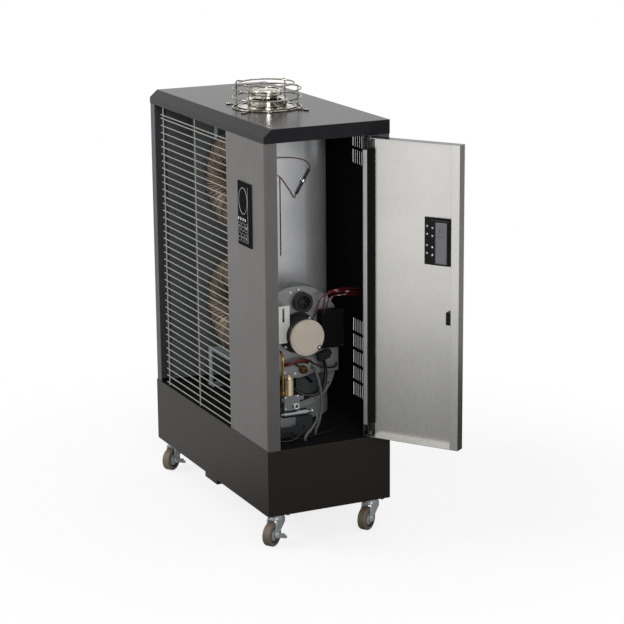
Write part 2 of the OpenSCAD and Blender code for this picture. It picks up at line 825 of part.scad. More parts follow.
// Black ignition transformer and control box, on the fan housing's face.
box_d = 31;
box_y0 = fan_y + motor_r + 14;
box_y1 = box_y0 + 66;
box_low = fan_z - 46;
box_high = box_low + 103;
box_rim = 8;
module ignition_box() {
    color([0.05, 0.05, 0.06]) difference() {
        box(fan_front, fan_front + box_d, box_y0, box_y1, box_low, box_high);
        box(fan_front + box_d - 3, fan_front + box_d + 1, box_y0 + box_rim, box_y1 - box_rim,
            box_low + box_rim, box_high - box_rim);
    }
}

// Bright gusset under the box.
module stay_bracket() {
    color([0.62, 0.62, 0.6]) translate([fan_front, 0, 0]) rotate([90, 0, 90]) linear_extrude(3)
        polygon([[fan_y + 75, fan_z - 48], [fan_y + 113, fan_z - 52], [fan_y + 90, fan_z - 108]]);
}

// Fuel system on the door side

// Duct box that carries combustion air from the deck, and carries the pump.
duct_x1 = fan_front + 25;
duct_h = 66;
duct_front = fan_y - 91;
duct_rear = duct_front + 122;
duct_slope = 37;
duct_drop = 14;
module air_duct() {
    color([0.17, 0.18, 0.19]) translate([fan_back, 0, deck_z]) rotate([90, 0, 90])
        linear_extrude(duct_x1 - fan_back)
            polygon([[duct_front, 0], [duct_rear, 0], [duct_rear, duct_h - duct_drop],
                [duct_rear - duct_slope, duct_h], [duct_front, duct_h]]);
}

// Pump block on a bracket, with its round test port.
pump_y0 = duct_front + 25;
pump_y1 = pump_y0 + 45;
pump_z0 = deck_z + duct_h + 18;
pump_h = 41;
pump_d = 30;
module fuel_pump() {
    x = duct_x1;
    z1 = pump_z0 + pump_h;
    color([0.42, 0.43, 0.42]) difference() {
        union() {
            box(x, x + 3, pump_y0, pump_y1, deck_z + 30, z1);
            box(x, x + pump_d, pump_y0, pump_y1, pump_z0, z1);
            box(x + 6, x + pump_d - 4, pump_y0 - 5, pump_y1 + 14, z1 - 16, z1 - 5);
            pipe_x(x + pump_d, x + pump_d + 6, pump_y1 - 12, pump_z0 + 12, 8, 3);
        }
        rod_x(x + pump_d - 8, x + pump_d + 1, pump_y1 - 12, pump_z0 + 12, 5);
    }
}

// Solenoid coil on the pump, with its core's nut.
coil_x = duct_x1 + 16;
coil_y = pump_y0 + 21;
module pump_coil() {
    z = pump_z0 + pump_h;
    color([0.85, 0.8, 0.7]) union() {
        rod_z(coil_x, coil_y, z, z + 46, 12);
        rod_z(coil_x, coil_y, z + 46, z + 50, 7);
        translate([coil_x, coil_y, z + 50]) cylinder(h = 5, r = 6, $fn = 6);
    }
}

// Brass line from the pump up to the fan housing.
line_r = 3;
module nozzle_line() {
    z = pump_z0 + pump_h;
    y = coil_y - 18.5;
    color([0.66, 0.5, 0.22]) union() {
        rod_z(coil_x, y, z, z + 9, 6);
        tube_along([[coil_x, y, z + 8], [coil_x, y, z + 30], [coil_x - 1, y + 1, z + 70],
            [coil_x - 4, y + 3, z + 100], [coil_x - 16, y + 3, z + 114], [fan_front + 12, y + 3, z + 114],
            [fan_front + seat, y + 3, z + 114]], line_r, [0, 1, 0]);
    }
}

// Fuel filter lying across the front of the duct box.
filter_r = 10;
module fuel_filter() {
    x = duct_x1 + filter_r + 4;
    z = deck_z + 70;
    color([0.55, 0.57, 0.58]) union() {
        rod_y(x, -98, -28, z, filter_r);
        rod_y(x, -104, -98, z, 6);
        rod_y(x, -28, -18, z, 5);
        box(duct_x1 + 3, x, -70, -60, z - 3, z + 3);
    }
}

// Two fuel hoses that go down through the deck to the tank.
hose_r = 4;
hose_low = caster_h + sheet_t + fuel_tank_h + seat;
hose_a_end = [duct_x1 + 8.2, duct_rear + 5, hose_low];
hose_b_end = [duct_x1 + 44.2, duct_rear - 43, hose_low];
module fuel_hoses() {
    a = hose_a_end;
    b = hose_b_end;
    color([0.35, 0.36, 0.36]) {
        tube_along([[fan_front + seat, 10, deck_z + 178], [fan_front + 12, 10, deck_z + 178],
            [fan_front + 28, 16, deck_z + 146], [fan_front + 32, 22, deck_z + 84],
            [a[0] + 1, 12, deck_z + 34], [a[0], a[1] + 1, deck_z + 12], [a[0], a[1], deck_z - 8], a],
            hose_r, [0, 1, 0]);
        tube_along([[duct_x1 + 14, -18 + seat, deck_z + 70], [duct_x1 + 14, -8, deck_z + 70],
            [duct_x1 + 24, 0, deck_z + 52], [b[0] - 4, -22, deck_z + 32],
            [b[0], b[1] + 2, deck_z + 12], [b[0], b[1], deck_z - 8], b], hose_r, [1, 0, 0.3]);
    }
}

// Electrical pieces

// Three bundles of insulated wires between the box, the motor, the pump and the rear.
bundle_r = 3.5;
module wire_harness() {
    x = fan_front + 12;
    box_z = box_high;
    box_y = box_y0 + 26;
    color([0.25, 0.05, 0.05]) {
        tube_along([[x, box_y, box_z + seat], [x, box_y, box_z + 16], [x + 2, box_y + 14, box_z + 34],
            [x - 4, box_y + 50, box_z + 34], [x - 20, box_y + 90, box_z + 26],
            [x - 30, rear_in - 14, box_z + 20], [x - 30, rear_in - seat, box_z + 20]], bundle_r, [0.9, 0.3, 0.1]);
        tube_along([[x + 12, box_y - 16, box_z + seat], [x + 12, box_y - 16, box_z + 16],
            [x + 12, box_y - 4, box_z + 48], [x + 4, box_y + 34, box_z + 52],
            [x - 14, box_y + 80, box_z + 46], [x - 30, rear_in - 14, box_z + 36],
            [x - 30, rear_in - seat, box_z + 36]], bundle_r, [0.9, 0.3, 0.1]);
        tube_along([[fan_front + seat, fan_y + 28, fan_z - 84], [x - 2, fan_y + 28, fan_z - 84],
            [x + 6, fan_y + 12, fan_z - 76], [x + 6, fan_y - 22, fan_z - 78],
            [x - 2, fan_y - 40, fan_z - 84], [fan_front + seat, fan_y - 40, fan_z - 84]], bundle_r, [0, 0.2, 1]);
    }
    color([0.05, 0.05, 0.05]) translate([fan_front + box_d + seat, box_y0 - 18, box_low + 14])
        rotate([-40, 0, 0]) cube([20, 34, 14]);
}

// Overheat sensor on the partition: a sleeve, its clip and two thin leads.
lead_r = 1.3;
sensor_drop = 119;
module overheat_sensor() {
    x = burner_x + 5;
    z = roof_z - sensor_drop;
    color([0.25, 0.06, 0.06]) {
        union() {
            translate([x, 16, z - 68]) rotate([-31, 0, 0]) cylinder(h = 78, r = 4);
            box(burner_x, x, 30, 42, z - 38, z - 26);
        }
        tube_along([[x, 16 - 0.5, z - 68], [x, 10, z - 76], [x, -6, z - 50], [x, -40, z - 10],
            [x, -100, z + 6], [x, -130, z + 8]], lead_r, [1, 0, 0]);
        tube_along([[x, 56.5, z], [x, 58, z + 6], [x, 44, z + 22], [x, 10, z + 32],
            [x, -40, z + 36], [x, -130, z + 36]], lead_r, [1, 0, 0]);
        box(burner_x, x + 3, -138, -130, z + 2, z + 42);
    }
}

// Gloss control panel with a raised oval ring, four lamps and six film keys.
bezel_t = 3;
module control_panel() {
    y = -half_d - bezel_t;
    color([0.06, 0.06, 0.07]) union() {
        box(panel_x0, panel_x1, y, -half_d, panel_z0, panel_z1);
        box(panel_x0 + bezel_edge, panel_x1 - bezel_edge, -half_d, 22 - half_d, panel_z0 + bezel_edge,
            panel_z1 - bezel_edge);
    }
}

// Cable gland in the rear panel, open for a mains lead.
gland_bore = 4.2;
module cable_gland() {
    color([0.08, 0.08, 0.08]) difference() {
        union() {
            rod_y(gland_x, rear_in - 8, half_d, gland_z, gland_r);
            translate([gland_x, half_d + 6, gland_z]) rotate([90, 0, 0])
                cylinder(h = 6 + sheet_t, r = 13, $fn = 6);
            rod_y(gland_x, half_d, half_d + 16, gland_z, 9);
            translate([gland_x, rear_in, gland_z]) rotate([90, 0, 0]) cylinder(h = 5, r = 13, $fn = 6);
        }
        rod_y(gland_x, rear_in - 9, half_d + 17, gland_z, gland_bore);
    }
}

// Door

// Angle plates on the rear post, each with a pin into the door.
bracket_t = 2.5;
pin_l = 11;
module hinge_bracket(z, up) {
    post_y = half_d - post_w;
    z1 = z + up * bracket_t;
    z2 = z + up * 28;
    low = min(z, z1);
    union() {
        box(hinge_x - 14, hinge_x + 5, hinge_y - 9, post_y, low, low + bracket_t);
        box(hinge_x - 18, hinge_x + 5, post_y - sheet_t, post_y, min(z, z2), max(z, z2));
    }
}
module hinge_brackets() {
    low = deck_z;
    high = door_top + 1 + bracket_t;
    color([0.6, 0.6, 0.6]) {
        union() {
            hinge_bracket(low, 1);
            rod_z(hinge_x, hinge_y, low, low + bracket_t + pin_l, hinge_pin_r);
        }
        union() {
            hinge_bracket(high, -1);
            rod_z(hinge_x, hinge_y, high - bracket_t - pin_l, high, hinge_pin_r);
        }
    }
}

// Places a piece that is drawn on the closed door at the door's standing angle.
module at_door() {
    translate([hinge_x, hinge_y, 0]) rotate([0, 0, door_open]) translate([-hinge_x, -hinge_y, 0]) children();
}

// Tray door: a face with four folded edges, a lip on the free edge, pin holes and a handle opening.
module door_panel() {
    t = sheet_t;
    color([0.7, 0.7, 0.68]) at_door() difference() {
        union() {
            difference() {
                box(door_in, half_w, door_front, door_rear, door_bottom, door_top);
                box(door_in - 1, half_w - t, door_front + t, door_rear - t, door_bottom + t, door_top - t);
            }
            box(door_in, door_in + t, door_front, door_front + door_lip, door_bottom, door_top);
        }
        rod_z(hinge_x, hinge_y, door_bottom - 1, door_bottom + t + 1, hinge_pin_r + fit);
        rod_z(hinge_x, hinge_y, door_top - t - 1, door_top + 1, hinge_pin_r + fit);
        box(half_w - t - 1, half_w + 1, handle_y - handle_w / 2 - cut_gap, handle_y + handle_w / 2 + cut_gap,
            handle_mid - handle_h / 2 - cut_gap, handle_mid + handle_h / 2 + cut_gap);
    }
}

// Foam strip that seals the hinged side, on the inside of the door's face.
seal_w = 20;
seal_t = 3;
module door_seal() {
    y = door_rear - 2 * sheet_t;
    color([0.05, 0.05, 0.05]) at_door()
        box(half_w - sheet_t - seal_t, half_w - sheet_t, y - seal_w, y, door_bottom + stile_end,
            door_top - stile_end);
}

// Bare angle that stiffens the hinged edge between the two pins.
module hinge_stile() {
    t = sheet_t;
    y = door_rear - t;
    color([0.7, 0.7, 0.7]) at_door() wall(door_bottom + stile_end, door_top - stile_end) union() {
        rect(door_in, half_w - t, y - t, y);
        rect(door_in, door_in + t, y - stile_w, y);
    }
}

// Recessed handle: a cup behind the door's face, the paddle in it, and a grey rear cover.
cup_t = 2;
cup_d = 20;
paddle_t = 4;
paddle_pin_r = 2;
finger_gap = 16;
paddle_x = half_w - sheet_t - 4;
paddle_y = handle_y + handle_w / 2 - cup_t - 6;
module handle_cup() {
    y0 = handle_y - handle_w / 2;
    y1 = handle_y + handle_w / 2;
    z0 = handle_mid - handle_h / 2;
    z1 = handle_mid + handle_h / 2;
    color([0.06, 0.06, 0.06]) at_door() difference() {
        union() {
            box(half_w - sheet_t - cup_d, half_w, y0, y1, z0, z1);
            box(half_w - sheet_t - 3, half_w - sheet_t, y0, y1 + 26, z0 - 4, z1 + 4);
        }
        box(half_w - sheet_t - cup_d + cup_t, half_w + 1, y0 + cup_t, y1 - cup_t, z0 + cup_t, z1 - cup_t);
        rod_z(paddle_x, paddle_y, z0 - 1, z1 + 1, paddle_pin_r + fit);
    }
}
module handle_cover() {
    x1 = half_w - sheet_t - cup_d;
    y0 = handle_y - handle_w / 2;
    y1 = handle_y + handle_w / 2;
    color([0.45, 0.45, 0.46]) at_door()
        box(door_in + sheet_t + 1, x1, y0 + 3, y1 - 14, handle_mid - handle_h / 2 + 4,
            handle_mid + handle_h / 2 - 4);
}
module handle_paddle() {
    z0 = handle_mid - handle_h / 2 + cup_t;
    z1 = handle_mid + handle_h / 2 - cup_t;
    y0 = handle_y - handle_w / 2 + cup_t + finger_gap;
    color([0.1, 0.1, 0.1]) at_door() union() {
        box(paddle_x - paddle_t / 2, paddle_x + paddle_t / 2, y0, paddle_y, z0 + 1, z1 - 1);
        rod_z(paddle_x, paddle_y, z0 + 1, z1 - 1, paddle_t / 2 + 1);
        rod_z(paddle_x, paddle_y, z0 + seat - cup_t, z1 - seat + cup_t, paddle_pin_r);
    }
}

// Spring catch beside the free edge's lip, with its tongue behind the lip.
module door_catch() {
    z = deck_z + 358;
    x1 = half_w - sheet_t;
    y0 = door_front + door_lip;
    color([0.08, 0.08, 0.08]) at_door() union() {
        box(x1 - 22, x1, y0 + 1, y0 + 16, z - 17, z + 17);
        box(x1 - 14, x1 - 8, door_front + sheet_t, y0 + 1, z - 8, z + 8);
    }
}

// Casters

// Each caster's parts are drawn round its swivel axis, with the wheel trailing along -Y.
module at_caster(sx, sy) {
    translate([sx * caster_x, sy * caster_y, 0]) rotate([0, 0, swivel_turn]) children();
}

// Fixed plate, race and kingpin of each caster.
module caster_plates() {
    color([0.72, 0.73, 0.73]) for (sx = [-1, 1], sy = [-1, 1])
        translate([sx * caster_x, sy * caster_y, 0]) union() {
            box(-plate_half, plate_half, -plate_half, plate_half, caster_h - plate_t, caster_h);
            rod_z(0, 0, crown_top + seat, caster_h - 1, race_r);
            rod_z(0, 0, crown_top - crown_t - seat - 3, caster_h - 1, kingpin_r);
            rod_z(0, 0, crown_top - crown_t - seat - 3, crown_top - crown_t - seat, kingpin_r + 3);
        }
}

// Fork: a crown round the kingpin, two legs and the axle bolt.
module leg_plan() {
    top = crown_top;
    difference() {
        union() {
            polygon([[-trail - 8, wheel_r + 2], [-trail + 2, top], [18, top], [18, top - 14],
                [-trail + 8.5, wheel_r - 3]]);
            translate([-trail, wheel_r]) circle(r = 9);
        }
        translate([-trail, wheel_r]) circle(r = axle_r + fit);
    }
}
module caster_fork(sx, sy, nut_gap) {
    color([0.72, 0.73, 0.73]) at_caster(sx, sy) {
        difference() {
            union() {
                for (x = [-leg_out, leg_in]) translate([x, 0, 0]) rotate([90, 0, 90])
                    linear_extrude(leg_t) leg_plan();
                box(-leg_out, leg_out, 2 - trail, 18, crown_top - crown_t, crown_top);
                rod_z(0, 0, crown_top - crown_t, crown_top, 18);
            }
            rod_z(0, 0, crown_top - crown_t - 1, crown_top + 1, kingpin_r + fit);
        }
        union() {
            rod_x(-leg_out - 5, leg_out + nut_gap + 3.5, -trail, wheel_r, axle_r);
            translate([-leg_out - 5, -trail, wheel_r]) rotate([0, 90, 0]) cylinder(h = 4.8, r = 7, $fn = 6);
            translate([leg_out + nut_gap, -trail, wheel_r]) rotate([0, 90, 0]) cylinder(h = 4, r = 7, $fn = 6);
        }
    }
}

// Wheel: a rounded tyre on a hub with a raised boss.
hub_r = wheel_r - 9;
module caster_wheel(sx, sy) {
    h = wheel_w / 2;
    at_caster(sx, sy) translate([0, -trail, wheel_r]) rotate([0, 90, 0]) {
        color([0.42, 0.37, 0.33]) rotate_extrude() difference() {
            union() {
                rect(hub_r, wheel_r - 4, -h, h);
                rect(hub_r, wheel_r, 4 - h, h - 4);
                for (s = [-1, 1]) translate([wheel_r - 4, s * (h - 4)]) circle(r = 4);
            }
            rect(0, hub_r, -h, h);
        }
        color([0.55, 0.57, 0.58]) rotate_extrude() union() {
            rect(axle_r + fit, 9, -h, h);
            rect(axle_r + fit, hub_r, 3 - h, h - 3);
            rect(hub_r - 3, hub_r, -h, h);
        }
    }
}

// Brake pedal on the axle bolt, outside the fork's leg, pressed down to lock the wheel.
pedal_l = 40;
pedal_t = 2.5;
pedal_drop = 20;
module brake_pedal(sx, sy) {
    x = leg_out + seat;
    color([0.3, 0.3, 0.3]) at_caster(sx, sy) translate([0, -trail, wheel_r]) rotate([-pedal_drop, 0, 0])
        difference() {
            union() {
                translate([x, 0, 0]) rotate([90, 0, 90]) linear_extrude(pedal_t) union() {
                    circle(r = 9);
                    rect(0, pedal_l, -6, 7);
                }
                box(x - 16, x + pedal_t, pedal_l - 2, pedal_l + 12, -2, 2);
                box(x, x + pedal_t, pedal_l - 3, pedal_l + 12, -6, 2);
            }
            rod_x(x - 1, x + 4, 0, 0, axle_r + fit);
        }
}

// Fasteners: button heads on the rear panel and the reflectors, and the caster plates' bolts.
head_r = 4;
head_h = 2;
module screws() {
    color([0.75, 0.75, 0.75]) {
        for (i = [0 : 4], x = [-1, 1])
            rod_y(x * (half_w - 8), half_d, half_d + head_h, deck_z + 30 + i * (cab_h - 60) / 4, head_r);
        for (i = [0 : 3])
            rod_y(8 - half_w + sheet_t, side_front - head_h, side_front, deck_z + 60 + i * (cab_h - 120) / 3,
                head_r - 1);
        for (a = [15 : 30 : 345]) translate([drum_x, tube_y, run_z(0)]) rotate([a, 0, 0])
            rod_x(0, 3, drum_r + 15, 0, head_r);
        for (sx = [-1, 1], sy = [-1, 1], ax = [-1, 1], ay = [-1, 1])
            translate([sx * caster_x + ax * 23, sy * caster_y + ay * 23, caster_h - plate_t - 4])
                cylinder(h = 4, r = 5, $fn = 6);
        for (a = [50 : 50 : 250]) translate([fan_front, fan_y, fan_z]) rotate([a, 0, 0])
            rod_x(0, 2, fan_r - 8, 0, head_r - 0.5);
    }
}

tank_skirt();
drain_guard();
fuel_tank();
fuel_cap();
deck_plate();
left_panel();
rear_panel();
rear_post();
front_column();
top_cover();
wire_grille();
reflectors();
partition();
heat_tubes();
tube_bends();
tube_brackets();
flue_pipe();
flue_base();
flue_cowl();
flue_guard();
burner_flange();
burner_drum();
fan_housing();
fan_impeller();
fan_motor();
motor_cap();
air_port();
scale_plate();
ignition_box();
stay_bracket();
fuel_pump();
pump_coil();
nozzle_line();
fuel_filter();
fuel_hoses();
air_duct();
wire_harness();
overheat_sensor();
control_panel();
cable_gland();
hinge_brackets();
door_panel();
door_seal();
hinge_stile();
handle_cup();
handle_cover();
handle_paddle();
door_catch();
caster_plates();
caster_fork(1, -1, pedal_t + 2 * seat);  // caster_fork_front_right
caster_fork(-1, -1, pedal_t + 2 * seat);  // caster_fork_front_left
caster_fork(1, 1, seat);  // caster_fork_rear_right
caster_fork(-1, 1, seat);  // caster_fork_rear_left
caster_wheel(1, -1);  // caster_wheel_front_right
caster_wheel(-1, -1);  // caster_wheel_front_left
caster_wheel(1, 1);  // caster_wheel_rear_right
caster_wheel(-1, 1);  // caster_wheel_rear_left
brake_pedal(1, -1);  // brake_pedal_front_right
brake_pedal(-1, -1);  // brake_pedal_front_left
screws();
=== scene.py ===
"""Finishes and fine pieces of a free-standing infrared diesel heater, with its studio."""

import json
import logging
import math
import random
from dataclasses import dataclass
from enum import Enum
from typing import Any, Sequence

import bmesh
import bpy
from mathutils import Matrix, Vector

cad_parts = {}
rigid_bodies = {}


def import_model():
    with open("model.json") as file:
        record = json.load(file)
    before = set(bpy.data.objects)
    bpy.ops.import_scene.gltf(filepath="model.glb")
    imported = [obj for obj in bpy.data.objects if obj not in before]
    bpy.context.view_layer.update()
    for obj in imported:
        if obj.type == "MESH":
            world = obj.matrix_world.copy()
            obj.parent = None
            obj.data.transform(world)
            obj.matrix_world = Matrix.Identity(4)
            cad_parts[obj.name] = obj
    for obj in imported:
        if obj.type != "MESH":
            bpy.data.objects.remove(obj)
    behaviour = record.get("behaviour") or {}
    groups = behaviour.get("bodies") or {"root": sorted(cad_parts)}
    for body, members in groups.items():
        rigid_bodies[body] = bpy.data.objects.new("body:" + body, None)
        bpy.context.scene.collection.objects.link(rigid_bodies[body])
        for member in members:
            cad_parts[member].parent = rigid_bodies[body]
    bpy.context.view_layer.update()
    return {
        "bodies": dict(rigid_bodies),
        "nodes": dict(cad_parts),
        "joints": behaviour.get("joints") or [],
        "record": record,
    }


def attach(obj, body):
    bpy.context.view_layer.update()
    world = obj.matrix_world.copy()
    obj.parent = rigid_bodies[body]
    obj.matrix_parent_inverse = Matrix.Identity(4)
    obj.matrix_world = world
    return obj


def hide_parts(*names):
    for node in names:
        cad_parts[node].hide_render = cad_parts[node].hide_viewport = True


LOG = logging.getLogger("heater")
MM = 0.001

Pair = tuple[float, float]
Point = tuple[float, float, float]
Route = tuple[Point, ...]
Shape = bmesh.types.BMesh
Socket = bpy.types.NodeSocket
Tree = bpy.types.NodeTree

STILL = Matrix.Identity(4)
# Directions that pieces face or point in.
RIGHT, LEFT, BACK, FRONT, UP = (1, 0, 0), (-1, 0, 0), (0, 1, 0), (0, -1, 0), (0, 0, 1)

# Rubbed edges show a paler tone; on the front column the same paler edge is a painted highlight.
# The tone starts where the rounded normal leans off the flat one by the first of these cosines,
# and is full at the second.
EDGE_WEAR_AND_HIGHLIGHT_TONE = "#c9c7c2"
EDGE_TONE_STARTS, EDGE_TONE_FULL = 0.97, 0.75


class Axis(Enum):
    """The direction in which a surface was brushed or drawn."""

    Y = 1
    Z = 2


# Colour and node helpers


def linear(code: str) -> tuple[float, float, float, float]:
    """Turns an sRGB hex colour into linear values.

    Args:
        code: The colour, such as "#8e8c93".

    Returns:
        Red, green, blue and an alpha of 1.
    """
    parts = [int(code[i : i + 2], 16) / 255 for i in (1, 3, 5)]
    red, green, blue = (c / 12.92 if c <= 0.04045 else ((c + 0.055) / 1.055) ** 2.4 for c in parts)
    return (red, green, blue, 1.0)


def per_mm(size: float) -> float:
    """Gives a texture's scale for a feature size.

    Args:
        size: The size of one feature in millimetres.

    Returns:
        The scale that repeats the pattern at that size on metre coordinates.
    """
    return 1000.0 / size


def add_node(
    tree: Tree, kind: str, inputs: dict[Any, Any] | None = None, **settings: Any
) -> bpy.types.Node:
    """Adds a node with its settings, values and links.

    Args:
        tree: The node tree to add to.
        kind: The node's type name.
        inputs: Values, sockets or nodes by input name or index; a node gives its first output.
        **settings: Properties of the node.

    Returns:
        The new node.
    """
    node = tree.nodes.new(kind)
    for name, value in settings.items():
        setattr(node, name, value)
    for key, value in (inputs or {}).items():
        if isinstance(value, bpy.types.Node):
            value = value.outputs[0]
        if isinstance(value, Socket):
            tree.links.new(value, node.inputs[key])
        else:
            node.inputs[key].default_value = value
    return node


# Finishes


@dataclass(frozen=True)
class Finish:
    """A finish with one colour, a roughness and rounded edges.

    Attributes:
        name: The material's name.
        colour: The surface colour as sRGB hex.
        roughness: The mean roughness.
        metallic: 1 for bare metal, 0 for paint and plastic.
        grain: Size of the fine surface grain in millimetres.
        depth: Strength of the grain's bump.
        edge: Radius in millimetres that edges show in the light.
        edge_wear_and_highlight: How much edges are lightened, by handling on most finishes and as a
            painted highlight on the front column.
        patch: Size of the broad uneven patches in millimetres.
        unevenness: How much the patches darken and lighten the colour.
        axis: Direction of brushing, or None for an even grain.
        specular: The shader's specular level, lower on dull paint.
    """

    name: str
    colour: str
    roughness: float = 0.5
    metallic: float = 0.0
    grain: float = 1.0
    depth: float = 0.05
    edge: float = 0.8
    edge_wear_and_highlight: float = 0.15
    patch: float = 90.0
    unevenness: float = 0.08
    axis: Axis | None = None
    specular: float = 0.5

    def coordinates(self, tree: Tree) -> Socket:
        """Gives the coordinates in metres that the patterns lie on."""
        return add_node(tree, "ShaderNodeTexCoord").outputs["Object"]

    def tint(self, tree: Tree, coords: Socket, base: Socket) -> Socket:
        """Changes the colour over the surface, which a plain finish doesn't."""
        return base

    def material(self) -> bpy.types.Material:
        """Builds the material once and returns it again after that.

        Returns:
            The finished material.
        """
        known = bpy.data.materials.get(self.name)
        if known is not None:
            return known
        made = bpy.data.materials.new(self.name)
        made.use_nodes = True
        tree = made.node_tree
        coords = self.coordinates(tree)
        stretch = [1.0, 1.0, 1.0]
        if self.axis is not None:
            # Brushing draws each mark out to about sixty times its width.
            stretch[self.axis.value] = 1 / 60
        drawn = add_node(tree, "ShaderNodeMapping", {"Vector": coords, "Scale": stretch})
        sizes = {"Vector": drawn, "Scale": per_mm(self.grain), "Detail": 3.0}
        fine = add_node(tree, "ShaderNodeTexNoise", sizes)
        sizes = {"Vector": coords, "Scale": per_mm(self.patch), "Detail": 4.0, "Roughness": 0.6}
        broad = add_node(tree, "ShaderNodeTexNoise", sizes)
        rounded = add_node(tree, "ShaderNodeBevel", {"Radius": self.edge * MM}, samples=4)
        flat = add_node(tree, "ShaderNodeNewGeometry").outputs["Normal"]
        turned = add_node(
            tree, "ShaderNodeVectorMath", {0: rounded, 1: flat}, operation="DOT_PRODUCT"
        )
        # The paler edge tone: rubbing on most finishes, a painted highlight on the front column.
        span = {0: turned.outputs["Value"], 1: EDGE_TONE_STARTS, 2: EDGE_TONE_FULL, 3: 0.0, 4: self.edge_wear_and_highlight}
        wear_and_highlight_mask = add_node(tree, "ShaderNodeMapRange", span)
        span = {0: broad, 1: 0.3, 2: 0.7, 3: 1 - self.unevenness, 4: 1 + self.unevenness}
        shade = add_node(tree, "ShaderNodeMapRange", span)
        plain = add_node(
            tree,
            "ShaderNodeMix",
            {0: 1.0, 6: linear(self.colour), 7: shade},
            data_type="RGBA",
            blend_type="MULTIPLY",
        )
        base = self.tint(tree, coords, plain.outputs[2])
        shown = add_node(
            tree, "ShaderNodeMix", {0: wear_and_highlight_mask, 6: base, 7: linear(EDGE_WEAR_AND_HIGHLIGHT_TONE)}, data_type="RGBA"
        )
        # The grain spreads the roughness by 15 per cent, and is a third as high as it is wide.
        least, most = self.roughness * 0.85, min(1.0, self.roughness * 1.15)
        rough = add_node(tree, "ShaderNodeMapRange", {0: fine, 1: 0.25, 2: 0.75, 3: least, 4: most})
        sizes = {"Strength": self.depth, "Distance": self.grain * 0.3 * MM}
        bump = add_node(tree, "ShaderNodeBump", {**sizes, "Height": fine, "Normal": rounded})
        inputs = tree.nodes["Principled BSDF"].inputs
        tree.links.new(shown.outputs[2], inputs["Base Color"])
        tree.links.new(rough.outputs[0], inputs["Roughness"])
        tree.links.new(bump.outputs[0], inputs["Normal"])
        inputs["Metallic"].default_value = self.metallic
        inputs["Specular IOR Level"].default_value = self.specular
        return made


@dataclass(frozen=True)
class HeatStainAndReflectionClouds(Finish):
    """Metal under soft clouds of a few colours: heat stains on the tubes, and painted reflections
    on the polished cowl and the guard wire.

    Attributes:
        stops: The clouds' colours and where each stands in the cloud pattern.
        amount: How much the clouds cover the metal.
        cloud: Size of the clouds in millimetres.
    """

    stops: tuple[tuple[str, float], ...] = (
        ("#4e4034", 0.30),
        ("#6b5845", 0.45),
        ("#5b4735", 0.58),
        ("#41362d", 0.72),
    )
    amount: float = 0.75
    cloud: float = 140.0

    def tint(self, tree: Tree, coords: Socket, base: Socket) -> Socket:
        """Lays the clouds' colours over the metal.

        Args:
            tree: The material's node tree.
            coords: The coordinate socket.
            base: The colour so far.

        Returns:
            The changed colour.
        """
        sizes = {"Scale": per_mm(self.cloud), "Detail": 3.0, "Distortion": 0.6}
        bands = add_node(tree, "ShaderNodeTexNoise", {"Vector": coords, **sizes})
        ramp = add_node(tree, "ShaderNodeValToRGB", {"Fac": bands})
        while len(ramp.color_ramp.elements) < len(self.stops):
            ramp.color_ramp.elements.new(0.5)
        for element, (code, place) in zip(ramp.color_ramp.elements, self.stops):
            element.position = place
            element.color = linear(code)
        mixed = add_node(
            tree, "ShaderNodeMix", {0: self.amount, 6: base, 7: ramp}, data_type="RGBA"
        )
        return mixed.outputs[2]


@dataclass(frozen=True)
class RibbedTint(HeatStainAndReflectionClouds):
    """Heat-stained metal whose fine pressed ribs fan out round each bend's middle;
    each rib's crest is a painted highlight.

    Attributes:
        crest: Colour of the painted highlight on a rib's crest.
        shine: How strongly the crest shows at its middle.
        fade: Where the crest starts and ends its fade, as parts of the ribs' pitch.
        ribs: Crests on half a turn.
        left: X and Z of the lowest left bend's middle, in metres.
        right: X and Z of the right bend's middle.
        spacing: Height between two left bends' middles.
    """

    stops: tuple[tuple[str, float], ...] = (
        ("#3c3127", 0.30),
        ("#544535", 0.45),
        ("#473628", 0.58),
        ("#312822", 0.72),
    )
    crest: str = "#c2ab8e"
    shine: float = 0.45
    fade: Pair = (0.06, 0.24)
    ribs: int = 36
    left: Pair = (-0.142, 0.5305)
    right: Pair = (0.0005, 0.7115)
    spacing: float = 0.362

    def tint(self, tree: Tree, coords: Socket, base: Socket) -> Socket:
        """Paints a highlight along the ribs' crests over the stain.

        Args:
            tree: The material's node tree.
            coords: The coordinate socket.
            base: The colour so far.

        Returns:
            The changed colour.
        """
        stained = super().tint(tree, coords, base)
        split = add_node(tree, "ShaderNodeSeparateXYZ", {0: coords}).outputs
        between = {0: split["X"], 1: self.left[0] / 2}
        side = add_node(tree, "ShaderNodeMath", between, operation="GREATER_THAN")
        offsets = []
        for axis, start, end in zip("XZ", self.left, self.right):
            span = {0: side, 1: 0.0, 2: 1.0, 3: start, 4: end}
            away = {0: split[axis], 1: add_node(tree, "ShaderNodeMapRange", span)}
            offsets.append(add_node(tree, "ShaderNodeMath", away, operation="SUBTRACT"))
        half = self.spacing / 2
        limits = {0: offsets[1], 1: half, 2: -half}
        level = add_node(tree, "ShaderNodeMath", limits, operation="WRAP")
        angle = add_node(tree, "ShaderNodeMath", {0: level, 1: offsets[0]}, operation="ARCTAN2")
        pitch = {0: angle, 1: self.ribs / math.pi}
        count = add_node(tree, "ShaderNodeMath", pitch, operation="MULTIPLY")
        wave = add_node(tree, "ShaderNodeMath", {0: count, 1: 0.5}, operation="PINGPONG")
        # The crest colour is a painted highlight along each rib.
        span = {0: wave, 1: self.fade[0], 2: self.fade[1], 3: self.shine, 4: 0.0}
        crest = add_node(tree, "ShaderNodeMapRange", span)
        mixed = add_node(
            tree, "ShaderNodeMix", {0: crest, 6: stained, 7: linear(self.crest)}, data_type="RGBA"
        )
        return mixed.outputs[2]


